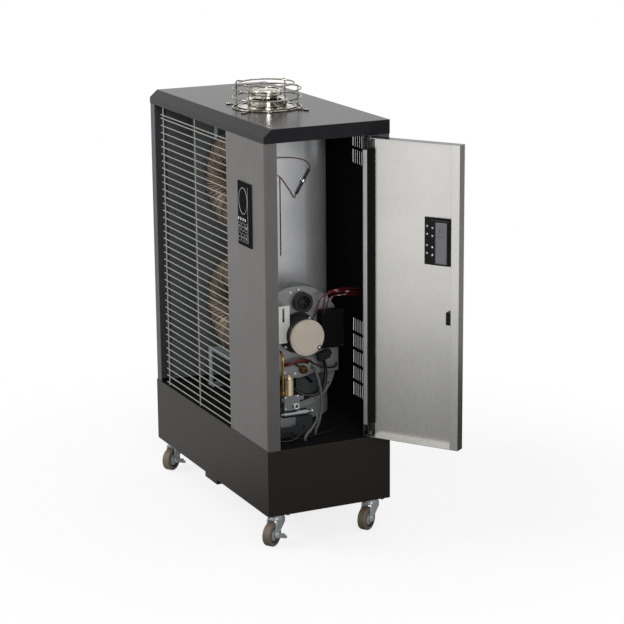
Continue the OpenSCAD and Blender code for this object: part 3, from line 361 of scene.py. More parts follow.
@dataclass(frozen=True)
class TwoSided(Finish):
    """Bare brushed sheet inside a folded tray whose outside is painted. The paint's colour also
    covers any of the inside past the bare box, which on the door's hinge side is painted shade.

    Attributes:
        paint: The colour outside, also laid as painted shade on any of the inside past the bare
            box.
        hinge: The hinge axis, in metres.
        turn: The angle by which the tray stands open.
        low: Lowest corner of the closed tray's bare inside, in metres.
        high: Highest corner of the closed tray's bare inside, in metres.
    """

    paint: str = "#5c5b5a"
    hinge: Point = (0.0, 0.0, 0.0)
    turn: float = 0.0
    low: Point = (0.0, 0.0, 0.0)
    high: Point = (0.0, 0.0, 0.0)

    def coordinates(self, tree: Tree) -> Socket:
        """Turns the coordinates back to the closed tray.

        Args:
            tree: The material's node tree.

        Returns:
            The coordinate socket, in metres.
        """
        arm = {0: super().coordinates(tree), 1: self.hinge}
        moved = add_node(tree, "ShaderNodeVectorMath", arm, operation="SUBTRACT")
        swing = {"Vector": moved, "Angle": -self.turn}
        turned = add_node(tree, "ShaderNodeVectorRotate", swing, rotation_type="Z_AXIS")
        arm = {0: turned, 1: self.hinge}
        return add_node(tree, "ShaderNodeVectorMath", arm, operation="ADD").outputs[0]

    def tint(self, tree: Tree, coords: Socket, base: Socket) -> Socket:
        """Paints the tray's outside, and any of its inside past the bare box, which is painted
        shade.

        Args:
            tree: The material's node tree.
            coords: The coordinate socket.
            base: The colour so far.

        Returns:
            The changed colour.
        """
        middle = [(a + b) / 2 for a, b in zip(self.low, self.high)]
        half = [(b - a) / 2 for a, b in zip(self.low, self.high)]
        ends = {0: coords, 1: middle}
        offset = add_node(tree, "ShaderNodeVectorMath", ends, operation="SUBTRACT")
        away = add_node(tree, "ShaderNodeVectorMath", {0: offset}, operation="ABSOLUTE")
        past = add_node(tree, "ShaderNodeVectorMath", {0: away, 1: half}, operation="SUBTRACT")
        parts = add_node(tree, "ShaderNodeSeparateXYZ", {0: past}).outputs
        wide = add_node(tree, "ShaderNodeMath", {0: parts[0], 1: parts[1]}, operation="MAXIMUM")
        most = add_node(tree, "ShaderNodeMath", {0: wide, 1: parts[2]}, operation="MAXIMUM")
        outside = add_node(tree, "ShaderNodeMath", {0: most, 1: 0.0}, operation="GREATER_THAN")
        painted = add_node(
            tree, "ShaderNodeMix", {0: outside, 6: base, 7: linear(self.paint)}, data_type="RGBA"
        )
        return painted.outputs[2]


@dataclass(frozen=True)
class RoundZones(Finish):
    """A wheel whose tread and hub are two materials, told apart by their radius.

    Attributes:
        hub: The hub's colour.
        centre: A point on the axle, in metres.
        along: The axle's direction.
        reach: Radius of the hub, in metres.
        rim: Colour of the ring round the hub.
        rim_width: Width of that ring, inside the hub's radius; none where it is zero.
    """

    hub: str = "#6f7778"
    centre: Point = (0.0, 0.0, 0.0)
    along: Point = (1.0, 0.0, 0.0)
    reach: float = 0.02
    rim: str = "#22282a"
    rim_width: float = 0.0

    def tint(self, tree: Tree, coords: Socket, base: Socket) -> Socket:
        """Colours the hub and the ring round it.

        Args:
            tree: The material's node tree.
            coords: The coordinate socket.
            base: The colour so far.

        Returns:
            The changed colour.
        """
        ends = {0: coords, 1: self.centre}
        arm = add_node(tree, "ShaderNodeVectorMath", ends, operation="SUBTRACT")
        turned = {0: arm, 1: self.along}
        side = add_node(tree, "ShaderNodeVectorMath", turned, operation="CROSS_PRODUCT")
        radius = add_node(tree, "ShaderNodeVectorMath", {0: side}, operation="LENGTH")
        for reach, code in ((self.reach, self.rim), (self.reach - self.rim_width, self.hub)):
            limit = {0: radius.outputs["Value"], 1: reach}
            inner = add_node(tree, "ShaderNodeMath", limit, operation="LESS_THAN")
            zone = {0: inner, 6: base, 7: linear(code)}
            base = add_node(tree, "ShaderNodeMix", zone, data_type="RGBA").outputs[2]
        return base


# Powder coat on sheet steel: a fine orange peel that softens the highlights.
COVER_COAT = Finish(
    "powder_coat_black_semi_gloss", "#1b1a1e", 0.22, grain=1.6, edge=1.2, specular=0.1
)
CABINET_COAT = Finish(
    "powder_coat_dark_grey", "#4b4a4f", 0.45, grain=1.6, edge=1.2, specular=0.25
)
# The tank's coat has a brown cast that shows against the grey cabinet.
TANK_COAT = Finish("powder_coat_black_brown", "#1c1610", 0.42, grain=1.6, edge=1.2, specular=0.25)
# Matt black inside the cabinet swallows the light behind the burner.
INSIDE_BLACK = Finish(
    "matt_black_paint", "#060607", 0.85, grain=1.2, depth=0.1, edge=0.6, edge_wear_and_highlight=0.03, specular=0.12
)
# Metallic grey lacquer over a brushed sheet: faint upright lines under a satin sheen.
# Its strong pale edge tone is a painted highlight along the column's folded edges.
COLUMN_COAT = Finish(
    "metallic_grey_lacquer",
    "#5e5c5b",
    0.36,
    0.5,
    grain=0.7,
    depth=0.03,
    edge=2.5,
    edge_wear_and_highlight=0.9,
    axis=Axis.Z,
)
# Dipped coat on wire: smooth, pale and a little glossy.
WIRE_COAT = Finish(
    "light_grey_wire_coat", "#94938d", 0.38, grain=0.8, depth=0.08, edge=0.5, edge_wear_and_highlight=0.1
)
# Zinc plate: bright and slightly blue, with a soft cloudy sheen.
ZINC = Finish(
    "bright_zinc_plate", "#b9bcc0", 0.28, 1.0, grain=0.8, depth=0.08, edge=0.5, patch=12.0
)
# Thicker zinc on pressed steel: part of its sheen has gone dull.
CASTER_ZINC = Finish(
    "dull_zinc_plate", "#ccd2d2", 0.32, 0.6, grain=0.8, depth=0.08, edge=0.5, patch=12.0
)
# Phosphated steel: a dark, dry grey with hardly a highlight.
HINGE_STEEL = Finish(
    "grey_phosphated_steel", "#55565a", 0.45, 0.6, grain=0.8, depth=0.08, edge=0.8
)
# Blue-passivated zinc: a cool grey that looks chalky beside the hot tubes.
BRACKET_ZINC = Finish(
    "blue_zinc_plate", "#97a3a9", 0.42, 0.3, grain=0.8, depth=0.08, edge=0.5, patch=12.0
)
# Aluminised sheet: a soft mirror drawn out along the rolling direction.
ALUMINISED = Finish(
    "aluminised_sheet", "#b4b5b6", 0.30, 1.0, grain=0.6, depth=0.04, edge=0.8, axis=Axis.Z
)
# The same sheet beside the burner has lost part of its mirror.
SHIELD_SHEET = Finish(
    "aluminised_shield_sheet", "#cdced0", 0.4, 0.7, grain=0.6, depth=0.04, edge=0.8, axis=Axis.Z
)
# The louvre blades keep the pale primer of the outside.
LOUVRE_GREY = Finish("pale_primer_on_sheet", "#716e6b", 0.55, grain=0.8, edge=0.4, specular=0.3)
# Reflector sheet dulled by the heat: more of a grey haze than a mirror.
REFLECTOR = Finish(
    "heat_dulled_reflector", "#5d6263", 0.45, 0.15, grain=2.0, depth=0.35, edge=0.6, specular=0.2
)
# Mild steel scaled by the flame: dull brown with straw and soot clouds.
HEAT_STEEL = HeatStainAndReflectionClouds("heat_tinted_steel", "#51493f", 0.42, 0.7, grain=0.8, depth=0.1, edge=0.8)
# The same steel pressed into bends: darker, with a painted highlight along each fine rib's crest.
BEND_STEEL = RibbedTint("ribbed_heat_steel", "#342c25", 0.45, 0.5, grain=0.8, depth=0.1, edge=0.8)
# Polished stainless steel: a mirror with soft near-black and pale clouds as painted reflections.
COWL_STEEL = HeatStainAndReflectionClouds(
    "polished_stainless_cowl",
    "#c9c5bd",
    0.12,
    1.0,
    grain=3.0,
    depth=0.01,
    edge=0.5,
    edge_wear_and_highlight=0.0,
    stops=(("#24211f", 0.38), ("#d8d4cc", 0.46), ("#cfc8b8", 0.54), ("#1d1a18", 0.62)),
    amount=0.8,
    cloud=34.0,
)
# Drawn stainless wire: bright streaks broken by dark clouds, as painted reflections.
GUARD_WIRE = HeatStainAndReflectionClouds(
    "bright_guard_wire",
    "#8f8c86",
    0.16,
    1.0,
    grain=1.0,
    depth=0.02,
    edge=0.3,
    edge_wear_and_highlight=0.0,
    stops=(("#37342f", 0.36), ("#a9a598", 0.46), ("#8a8377", 0.55), ("#2b2927", 0.64)),
    amount=0.75,
    cloud=26.0,
)
# Die-cast aluminium: pale grey, slightly rough where the mould was worn.
CAST = Finish("die_cast_aluminium", "#858786", 0.42, 0.85, grain=0.6, depth=0.25, edge=1.5)
# Enamel on the duct's thin sheet: a blue-black with an even, soft gloss.
DUCT_GREY = Finish(
    "slate_grey_enamel", "#23272a", 0.4, grain=1.0, depth=0.1, edge=1.0, specular=0.4
)
# Enamel sprayed on the motor's shell: black, with a slightly lumpy gloss.
MOTOR_ENAMEL = Finish(
    "black_motor_enamel", "#0b0b0d", 0.42, grain=0.9, depth=0.2, edge=1.2, specular=0.3
)
# Moulded nylon: a warm cream with a dull skin.
MOTOR_CREAM = Finish(
    "cream_moulded_nylon", "#bbb0a4", 0.5, grain=0.7, depth=0.15, edge=1.5, edge_wear_and_highlight=0.1
)
# The pump's coil sits in a tinned can that has yellowed.
COIL_CAN = Finish("yellowed_tin_plate", "#e6d7b2", 0.3, 0.75, grain=0.5, depth=0.06, edge=0.8)
# Clear vinyl over tinned crimps: milky grey and soft at the ends.
TERMINAL = Finish("clear_terminal_sleeve", "#b9b1ae", 0.35, grain=0.5, edge=0.3, edge_wear_and_highlight=0.0)
# Vitreous enamel: a clean white with a glassy surface.
PLATE_WHITE = Finish("white_enamel", "#fdfefc", 0.3, grain=1.0, edge=0.6)
# ABS with a spark-eroded grain: the highlights break up into a fine sparkle.
BLACK_ABS = Finish(
    "black_abs_grained", "#09090b", 0.45, grain=0.5, depth=0.3, edge=0.8, edge_wear_and_highlight=0.05, specular=0.2
)
# Grey ABS with a coarser grain: a flat mid grey.
GREY_ABS = Finish("grey_abs_grained", "#6f6f72", 0.5, grain=0.6, depth=0.4, edge=0.8)
# Phenolic moulding: a deep, dry black that hardly reflects.
IGNITION_BLACK = Finish(
    "black_phenolic_case",
    "#050506",
    0.6,
    grain=0.6,
    depth=0.2,
    edge=0.8,
    edge_wear_and_highlight=0.05,
    specular=0.08,
)
# Nitrile rubber: black with a broad, greasy sheen.
BLACK_RUBBER = Finish(
    "black_nitrile_rubber",
    "#0c0c0e",
    0.5,
    grain=0.6,
    depth=0.2,
    edge=1.2,
    edge_wear_and_highlight=0.03,
    specular=0.35,
)
# Cast acrylic: a deep black whose gloss shows only at a low angle.
GLOSS_ACRYLIC = Finish(
    "black_gloss_acrylic",
    "#0a0a0c",
    0.22,
    grain=2.0,
    depth=0.01,
    edge=1.0,
    edge_wear_and_highlight=0.2,
    specular=0.006,
)
# Polyester film laid over the acrylic: a shade greyer and more matt.
KEY_FILM = Finish("black_key_film", "#0c0d0e", 0.34, grain=0.6, edge=0.3, edge_wear_and_highlight=0.05, specular=0.006)
# Screen print: a flat, pale grey line; the same grey lays the painted highlight along the key
# film's edge.
PRINT_AND_EDGE_HIGHLIGHT = Finish("grey_print_and_edge_highlight", "#a3a7a9", 0.4, grain=0.5, edge=0.2, edge_wear_and_highlight=0.0)
# Moulded lens: pale, smooth and unlit.
LAMP_PALE = Finish("pale_lamp_lens", "#dfe3e3", 0.2, grain=0.8, depth=0.02, edge=0.2, edge_wear_and_highlight=0.0)
# Drawn brass tube: a clear yellow with a long highlight.
BRASS = Finish("drawn_brass", "#a07a3a", 0.28, 1.0, grain=0.5, edge=0.4)
# Brass beside the flame has dulled to brown.
DULL_BRASS = Finish("heat_dulled_brass", "#5a4527", 0.42, 0.9, grain=0.5, edge=0.4)
# Machined cast iron: a bright grey, broken by the tool's marks.
PUMP_IRON = Finish("machined_cast_iron", "#88898b", 0.3, 1.0, grain=0.5, depth=0.3, edge=0.7)
# Aluminium can with fine marks along it: its highlight spreads sideways.
FILTER_SHELL = Finish(
    "spun_aluminium", "#8b9194", 0.3, 1.0, grain=0.4, depth=0.1, edge=0.7, axis=Axis.Y
)
# Textile braid over rubber: a coarse nap for the threads, which are too fine to show.
HOSE = Finish("braided_fuel_hose", "#4b4d4d", 0.55, grain=1.4, depth=0.7, edge=0.3, edge_wear_and_highlight=0.0)
# Extruded vinyl sleeves: a smooth skin with one thin highlight along each wire.
WIRE_RED, WIRE_BROWN, WIRE_BLACK = (
    Finish(tone + "_wire_sleeve", code, 0.4, grain=0.8, edge=0.2, edge_wear_and_highlight=0.0)
    for tone, code in (("red", "#64131a"), ("brown", "#3a1f14"), ("black", "#0d0d0e"))
)
# Cut foam: black and open-celled, so that it takes no highlight.
FOAM = Finish(
    "black_seal_foam", "#0a0a0b", 0.85, grain=1.2, depth=0.8, edge=0.8, edge_wear_and_highlight=0.0, specular=0.2
)
# Bare rolled steel: a grey sheen with broad, faint clouds.
TANK_STEEL = Finish("bare_tank_steel", "#8a8b8c", 0.4, 0.9, grain=0.7, depth=0.1, edge=1.0)


# Mesh helpers


def mm(*sizes: float) -> Vector:
    """Turns millimetres into a vector in metres."""
    return Vector(sizes) * MM


def mesh_from(shape: Shape, name: str) -> bpy.types.Mesh:
    """Closes a shape's doubles, points its faces outwards and makes it a mesh.

    Args:
        shape: The shape, which is freed.
        name: The mesh's name.

    Returns:
        The new mesh.
    """
    bmesh.ops.remove_doubles(shape, verts=shape.verts, dist=1e-6)
    bmesh.ops.recalc_face_normals(shape, faces=shape.faces)
    mesh = bpy.data.meshes.new(name)
    shape.to_mesh(mesh)
    shape.free()
    return mesh


def link(name: str, data: bpy.types.ID) -> bpy.types.Object:
    """Makes an object of a mesh, lamp or camera and links it to the scene.

    Args:
        name: The object's name.
        data: The object's data.

    Returns:
        The linked object.
    """
    made = bpy.data.objects.new(name, data)
    bpy.context.scene.collection.objects.link(made)
    return made


def finish_piece(
    name: str,
    form: Shape | bpy.types.Mesh,
    finish: Finish,
    body: str = "cabinet",
    angle: float = 35.0,
) -> bpy.types.Object:
    """Links a finished piece that rides on a body.

    Args:
        name: The piece's name.
        form: Its mesh, already in place, or its shape, which is closed and freed.
        finish: Its finish.
        body: The body that it rides on.
        angle: Edges sharper than this many degrees stay sharp.

    Returns:
        The linked object.
    """
    mesh = mesh_from(form, name) if isinstance(form, Shape) else form
    mesh.shade_smooth()
    mesh.set_sharp_from_angle(angle=math.radians(angle))
    mesh.materials.clear()
    mesh.materials.append(finish.material())
    piece = link(name, mesh)
    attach(piece, body)
    LOG.info("piece %s rides on %s with %d faces", name, body, len(mesh.polygons))
    return piece


def upright(normal: Sequence[float], origin: Sequence[float]) -> Matrix:
    """Gives the matrix that stands a flat pattern up on a wall, its Y axis upwards.

    Args:
        normal: The level direction that the wall faces.
        origin: Where the pattern's origin goes.

    Returns:
        The placing matrix.
    """
    out = Vector(normal).normalized()
    rise = Vector(UP)
    side = rise.cross(out)
    rows = [(side[i], rise[i], out[i], origin[i]) for i in range(3)]
    return Matrix([*rows, (0.0, 0.0, 0.0, 1.0)])


def add_box(shape: Shape, low: Point, high: Point, radius: float) -> None:
    """Adds a box with rounded edges, whose sizes are in millimetres.

    Args:
        shape: The shape to add to.
        low: Lowest corner.
        high: Highest corner.
        radius: Radius of the edges.
    """
    ends = list(zip(mm(*low), mm(*high)))
    size = [b - a for a, b in ends]
    place = Matrix.Translation([(a + b) / 2 for a, b in ends]) @ Matrix.Diagonal((*size, 1.0))
    made = bmesh.ops.create_cube(shape, size=1.0, matrix=place)
    edges = {e for v in made["verts"] for e in v.link_edges}
    bmesh.ops.bevel(shape, geom=list(edges), offset=radius * MM, segments=2, affect="EDGES")


def add_lathe(shape: Shape, profile: Sequence[Pair], way: Point, place: Point, steps: int) -> None:
    """Adds a turned form; a profile point at radius 0 closes a pole.

    Args:
        shape: The shape to add to.
        profile: Points of radius and height along the axis, in millimetres.
        way: Direction of the axis.
        place: Where the height is zero, in millimetres.
        steps: Faces round the axis.
    """
    turn = Vector(way).to_track_quat("Z", "Y").to_matrix().to_4x4()
    stand = Matrix.Translation(mm(*place)) @ turn
    angles = [2 * math.pi * k / steps for k in range(steps)]
    rings: list[list[bmesh.types.BMVert]] = []
    for radius, height in ((r * MM, h * MM) for r, h in profile):
        around = angles if radius > 0 else [0.0]
        spots = [Vector((radius * math.cos(a), radius * math.sin(a), height)) for a in around]
        rings.append([shape.verts.new(stand @ spot) for spot in spots])
    for one, two in zip(rings, rings[1:]):
        for k in range(steps):
            after = (k + 1) % steps
            if len(one) == 1 and len(two) == 1:
                continue
            if len(one) == 1:
                shape.faces.new((one[0], two[k], two[after]))
            elif len(two) == 1:
                shape.faces.new((one[k], two[0], one[after]))
            else:
                shape.faces.new((one[k], two[k], two[after], one[after]))


def rounded(width: float, height: float, radius: float, steps: int = 5) -> list[Pair]:
    """Gives the outline of a rectangle with round corners, centred on the origin.

    Args:
        width: Its size along X.
        height: Its size along Y.
        radius: Radius of the corners.
        steps: Points round each corner, less one.

    Returns:
        The outline's points.
    """
    points = []
    for corner, (sx, sy) in enumerate(((1, 1), (-1, 1), (-1, -1), (1, -1))):
        x, y = sx * (width / 2 - radius), sy * (height / 2 - radius)
        for k in range(steps + 1):
            angle = math.radians(90 * (corner + k / steps))
            points.append((x + radius * math.cos(angle), y + radius * math.sin(angle)))
    return points


def add_slab(shape: Shape, place: Matrix, size: Point, radius: float, bevel: float) -> None:
    """Adds a flat plate with round corners and a bevelled front edge, in millimetres.

    Args:
        shape: The shape to add to.
        place: Puts the plate's back face, whose Z axis points out of the front.
        size: Width, height and thickness.
        radius: Radius of the corners.
        bevel: Width of the front bevel.
    """
    width, height, thick = mm(*size)
    radius, bevel = radius * MM, bevel * MM
    loops = (
        (width, height, radius, 0.0),
        (width, height, radius, max(thick - bevel, thick * 0.25)),
        (width - 2 * bevel, height - 2 * bevel, max(radius - bevel, radius * 0.2), thick),
    )
    rings = [
        [shape.verts.new(place @ Vector((x, y, level))) for x, y in rounded(w, h, r)]
        for w, h, r, level in loops
    ]
    count = len(rings[0])
    for one, two in zip(rings, rings[1:]):
        for k in range(count):
            after = (k + 1) % count
            shape.faces.new((one[k], one[after], two[after], two[k]))
    shape.faces.new(list(reversed(rings[0])))
    shape.faces.new(rings[-1])


def path_mesh(routes: Sequence[Route], steps: int) -> bpy.types.Mesh:
    """Makes a mesh of edges that run in smooth curves through the points of routes.

    Args:
        routes: The routes' points, in millimetres.
        steps: Samples between two points.

    Returns:
        The mesh, one line of edges a route.
    """
    spots: list[Vector] = []
    edges: list[tuple[int, int]] = []
    for route in routes:
        first = len(spots)
        given = [mm(*point) for point in route]
        last = len(given) - 1
        for i in range(last):
            a, b = given[max(i - 1, 0)], given[i]
            c, d = given[i + 1], given[min(i + 2, last)]
            for t in (k / steps for k in range(steps)):
                square = (2 * a - 5 * b + 4 * c - d) * t * t
                cube = (3 * b - a - 3 * c + d) * t * t * t
                spots.append(0.5 * (2 * b + (c - a) * t + square + cube))
        spots.append(given[-1])
        edges += [(k, k + 1) for k in range(first, len(spots) - 1)]
    mesh = bpy.data.meshes.new("path")
    mesh.from_pydata(spots, edges, [])
    return mesh


# Geometry Nodes


class RepeatTree:
    """A Geometry Nodes tree whose named inputs are sizes."""

    def __init__(self, name: str, sizes: dict[str, float], fed: bool = False) -> None:
        """Starts a tree with its named inputs and one geometry output.

        Args:
            name: The tree's name.
            sizes: The inputs' names and default values; a whole number makes a count.
            fed: True if the tree works on geometry that it is given.
        """
        self.tree = bpy.data.node_groups.new(name, "GeometryNodeTree")
        sockets = self.tree.interface
        sockets.new_socket("Geometry", in_out="OUTPUT", socket_type="NodeSocketGeometry")
        if fed:
            sockets.new_socket("Geometry", in_out="INPUT", socket_type="NodeSocketGeometry")
        self.names: dict[str, str] = {}
        for key, value in sizes.items():
            kind = "NodeSocketInt" if isinstance(value, int) else "NodeSocketFloat"
            socket = sockets.new_socket(key, in_out="INPUT", socket_type=kind)
            socket.default_value = value
            self.names[key] = socket.identifier
        self.inlet = add_node(self.tree, "NodeGroupInput")

    def end(self, geometry: bpy.types.Node, finish: Finish) -> None:
        """Closes the tree with real geometry and its material.

        Args:
            geometry: The node whose geometry is given out.
            finish: The finish that it gets.
        """
        real = add_node(self.tree, "GeometryNodeRealizeInstances", {0: geometry})
        inputs = {"Geometry": real, "Material": finish.material()}
        dressed = add_node(self.tree, "GeometryNodeSetMaterial", inputs)
        add_node(self.tree, "NodeGroupOutput", {0: dressed})

    def mesh(
        self,
        name: str,
        sizes: dict[str, float],
        place: Matrix,
        source: bpy.types.Mesh | None = None,
    ) -> bpy.types.Mesh:
        """Runs the tree and returns its result in place.

        Args:
            name: The mesh's name.
            sizes: Values of the named inputs.
            place: Where the result goes.
            source: The geometry that a fed tree works on.

        Returns:
            A plain mesh.
        """
        holder = link(name + "_source", source or bpy.data.meshes.new(name + "_empty"))
        modifier = holder.modifiers.new("repeat", "NODES")
        modifier.node_group = self.tree
        for key, value in sizes.items():
            modifier[self.names[key]] = value
        graph = bpy.context.evaluated_depsgraph_get()
        mesh = bpy.data.meshes.new_from_object(holder.evaluated_get(graph), depsgraph=graph)
        holder.modifiers.remove(modifier)
        bpy.data.objects.remove(holder)
        mesh.name = name
        mesh.transform(place)
        for polygon in mesh.polygons:
            polygon.material_index = 0
        mesh.materials.clear()
        return mesh


def screws_on_a_circle(finish: Finish) -> RepeatTree:
    """Builds the tree for domed screw heads on washers, spaced along an arc.

    Args:
        finish: The screws' finish.

    Returns:
        The tree; its angles Start and Step are in radians.
    """
    sizes = {"Count": 6, "Ring": 0.02, "Start": 0.0, "Step": 1.0, "Radius": 0.003}
    made = RepeatTree("screws_on_a_circle", sizes)
    tree, inlet = made.tree, made.inlet.outputs
    index = add_node(tree, "GeometryNodeInputIndex")
    turns = {0: index, 1: inlet["Step"], 2: inlet["Start"]}
    angle = add_node(tree, "ShaderNodeMath", turns, operation="MULTIPLY_ADD")
    cosine = add_node(tree, "ShaderNodeMath", {0: angle}, operation="COSINE")
    sine = add_node(tree, "ShaderNodeMath", {0: angle}, operation="SINE")
    way = add_node(tree, "ShaderNodeCombineXYZ", {"X": cosine, "Y": sine})
    ring = {0: way, "Scale": inlet["Ring"]}
    spot = add_node(tree, "ShaderNodeVectorMath", ring, operation="SCALE")
    line = add_node(tree, "GeometryNodeMeshLine", {"Count": inlet["Count"]})
    placed = add_node(tree, "GeometryNodeSetPosition", {"Geometry": line, "Position": spot})
    heads = {"Points": placed, "Instance": screw_head(tree, inlet["Radius"])}
    made.end(add_node(tree, "GeometryNodeInstanceOnPoints", heads), finish)
    return made


def screw_head(tree: Tree, radius: Socket) -> bpy.types.Node:
    """Adds one domed head with its washer and its driver slot to a tree.

    Args:
        tree: The tree to add to.
        radius: The socket that gives the head's radius.

    Returns:
        The node that gives the head's geometry.
    """
    size = {"Segments": 18, "Rings": 10, "Radius": radius}
    ball = add_node(tree, "GeometryNodeMeshUVSphere", size)
    dome = add_node(tree, "GeometryNodeTransform", {"Geometry": ball, "Scale": (1.0, 1.0, 0.45)})
    wide = add_node(tree, "ShaderNodeMath", {0: radius, 1: 1.35}, operation="MULTIPLY")
    thin = add_node(tree, "ShaderNodeMath", {0: radius, 1: 0.2}, operation="MULTIPLY")
    size = {"Vertices": 24, "Radius": wide, "Depth": thin}
    washer = add_node(tree, "GeometryNodeMeshCylinder", size)
    groove = add_node(tree, "ShaderNodeCombineXYZ", {"X": thin, "Y": radius, "Z": radius})
    ridge = add_node(tree, "GeometryNodeMeshCube", {"Size": groove})
    low = add_node(tree, "GeometryNodeTransform", {"Geometry": ridge, "Scale": (1.0, 1.0, 0.95)})
    both = add_node(tree, "GeometryNodeJoinGeometry")
    for part in (dome, washer, low):
        tree.links.new(part.outputs[0], both.inputs[0])
    return both


def add_screws(
    shape: Shape,
    tree: RepeatTree,
    radius: float,
    place: Matrix,
    count: int = 1,
    ring: float = 0.0,
    start: float = 0.0,
    step: float = 0.0,
) -> None:
    """Adds one screw head, or a row of them along an arc.

    Args:
        shape: The shape to add to.
        tree: The screws' tree.
        radius: Radius of a head, in millimetres.
        place: Stands the arc's middle on its wall.
        count: How many heads there are.
        ring: Radius of the arc, in millimetres.
        start: Angle of the first head, in degrees.
        step: Angle between two heads.
    """
    sizes = {"Count": count, "Ring": ring * MM, "Radius": radius * MM}
    sizes |= {"Start": math.radians(start), "Step": math.radians(step)}
    shape.from_mesh(tree.mesh("screws", sizes, place))


def grid_of_keys(finish: Finish) -> RepeatTree:
    """Builds the tree for rounded key outlines in rows and columns.

    Args:
        finish: The print's finish.

    Returns:
        The tree.
    """
    sizes = {
        "Columns": 3,
        "Rows": 2,
        "Pitch X": 0.02,
        "Pitch Y": 0.028,
        "Width": 0.018,
        "Height": 0.022,
        "Corner": 0.004,
        "Line": 0.0005,
    }
    made = RepeatTree("grid_of_keys", sizes)
    tree, inlet = made.tree, made.inlet.outputs
    spans = []
    for count, pitch in (("Columns", "Pitch X"), ("Rows", "Pitch Y")):
        gaps = add_node(tree, "ShaderNodeMath", {0: inlet[count], 1: 1.0}, operation="SUBTRACT")
        span = {0: gaps, 1: inlet[pitch]}
        spans.append(add_node(tree, "ShaderNodeMath", span, operation="MULTIPLY"))
    counts = {"Vertices X": inlet["Columns"], "Vertices Y": inlet["Rows"]}
    grid = {"Size X": spans[0], "Size Y": spans[1], **counts}
    size = {"Width": inlet["Width"], "Height": inlet["Height"]}
    outline = add_node(tree, "GeometryNodeCurvePrimitiveQuadrilateral", size)
    corner = {"Curve": outline, "Radius": inlet["Corner"], "Count": 4}
    soft = add_node(tree, "GeometryNodeFilletCurve", corner, mode="POLY")
    size = {"Resolution": 6, "Radius": inlet["Line"]}
    rod = add_node(tree, "GeometryNodeCurvePrimitiveCircle", size)
    frame = add_node(tree, "GeometryNodeCurveToMesh", {"Curve": soft, "Profile Curve": rod})
    spread = {"Points": add_node(tree, "GeometryNodeMeshGrid", grid), "Instance": frame}
    made.end(add_node(tree, "GeometryNodeInstanceOnPoints", spread), finish)
    return made


def oval_rod(finish: Finish) -> RepeatTree:
    """Builds the tree for a round rod bent to a closed oval.

    Args:
        finish: The rod's finish.

    Returns:
        The tree.
    """
    sizes = {"Half Width": 0.03, "Half Height": 0.04, "Rod": 0.001}
    made = RepeatTree("oval_rod_" + finish.name, sizes)
    tree, inlet = made.tree, made.inlet.outputs
    size = {"Resolution": 72, "Radius": 1.0}
    circle = add_node(tree, "GeometryNodeCurvePrimitiveCircle", size)
    halves = {"X": inlet["Half Width"], "Y": inlet["Half Height"], "Z": 1.0}
    spread = add_node(tree, "ShaderNodeCombineXYZ", halves)
    oval = add_node(tree, "GeometryNodeTransform", {"Geometry": circle, "Scale": spread})
    size = {"Resolution": 10, "Radius": inlet["Rod"]}
    rod = add_node(tree, "GeometryNodeCurvePrimitiveCircle", size)
    tube = {"Curve": oval, "Profile Curve": rod}
    made.end(add_node(tree, "GeometryNodeCurveToMesh", tube), finish)
    return made


def tube_on_a_path(finish: Finish) -> RepeatTree:
    """Builds the tree that draws a round tube along each line of edges.

    Args:
        finish: The tube's finish.

    Returns:
        The tree.
    """
    made = RepeatTree("tube_on_a_path_" + finish.name, {"Radius": 0.002, "Sides": 12}, fed=True)
    tree, inlet = made.tree, made.inlet.outputs
    curve = add_node(tree, "GeometryNodeMeshToCurve", {"Mesh": inlet["Geometry"]})
    size = {"Resolution": inlet["Sides"], "Radius": inlet["Radius"]}
    rod = add_node(tree, "GeometryNodeCurvePrimitiveCircle", size)
    tube = {"Curve": curve, "Profile Curve": rod, "Fill Caps": True}
    made.end(add_node(tree, "GeometryNodeCurveToMesh", tube), finish)
    return made


def tube_mesh(
    name: str, finish: Finish, radius: float, sides: int, routes: Sequence[Route], steps: int = 8
) -> bpy.types.Mesh:
    """Draws round tubes of one radius along smooth routes.

    Args:
        name: The mesh's name.
        finish: The tubes' finish.
        radius: Their radius, in millimetres.
        sides: Faces round a tube.
        routes: The routes' points, in millimetres.
        steps: Samples between two points.

    Returns:
        The mesh.
    """
    sizes = {"Radius": radius * MM, "Sides": sides}
    return tube_on_a_path(finish).mesh(name, sizes, STILL, path_mesh(routes, steps))


def row_of_blades(finish: Finish) -> RepeatTree:
    """Builds the tree for a row of leaning louvre blades.

    Args:
        finish: The blades' finish.

    Returns:
        The tree; its angle Lean is in radians.
    """
    sizes = {"Count": 7, "Pitch": 0.013, "Length": 0.037, "Depth": 0.005}
    made = RepeatTree("row_of_blades", {**sizes, "Thickness": 0.0008, "Lean": 0.5})
    tree, inlet = made.tree, made.inlet.outputs
    step = add_node(tree, "ShaderNodeCombineXYZ", {"X": inlet["Pitch"]})
    line = add_node(tree, "GeometryNodeMeshLine", {"Count": inlet["Count"], "Offset": step})
    size = {"X": inlet["Thickness"], "Y": inlet["Length"], "Z": inlet["Depth"]}
    spans = add_node(tree, "ShaderNodeCombineXYZ", size)
    blade = add_node(tree, "GeometryNodeMeshCube", {"Size": spans})
    lean = add_node(tree, "ShaderNodeCombineXYZ", {"Y": inlet["Lean"]})
    spread = {"Points": line, "Instance": blade, "Rotation": lean}
    made.end(add_node(tree, "GeometryNodeInstanceOnPoints", spread), finish)
    return made


def dress(frame: dict[str, Any], finishes: dict[str, Finish]) -> None:
    """Gives CAD nodes their finishes.

    Args:
        frame: The loaded frame.
        finishes: The finish of each node, by the node's name.
    """
    for name, finish in finishes.items():
        mesh = frame["nodes"][name].data
        mesh.materials.clear()
        mesh.materials.append(finish.material())
        LOG.info("node %s is finished as %s", name, finish.name)


# Sub-assemblies


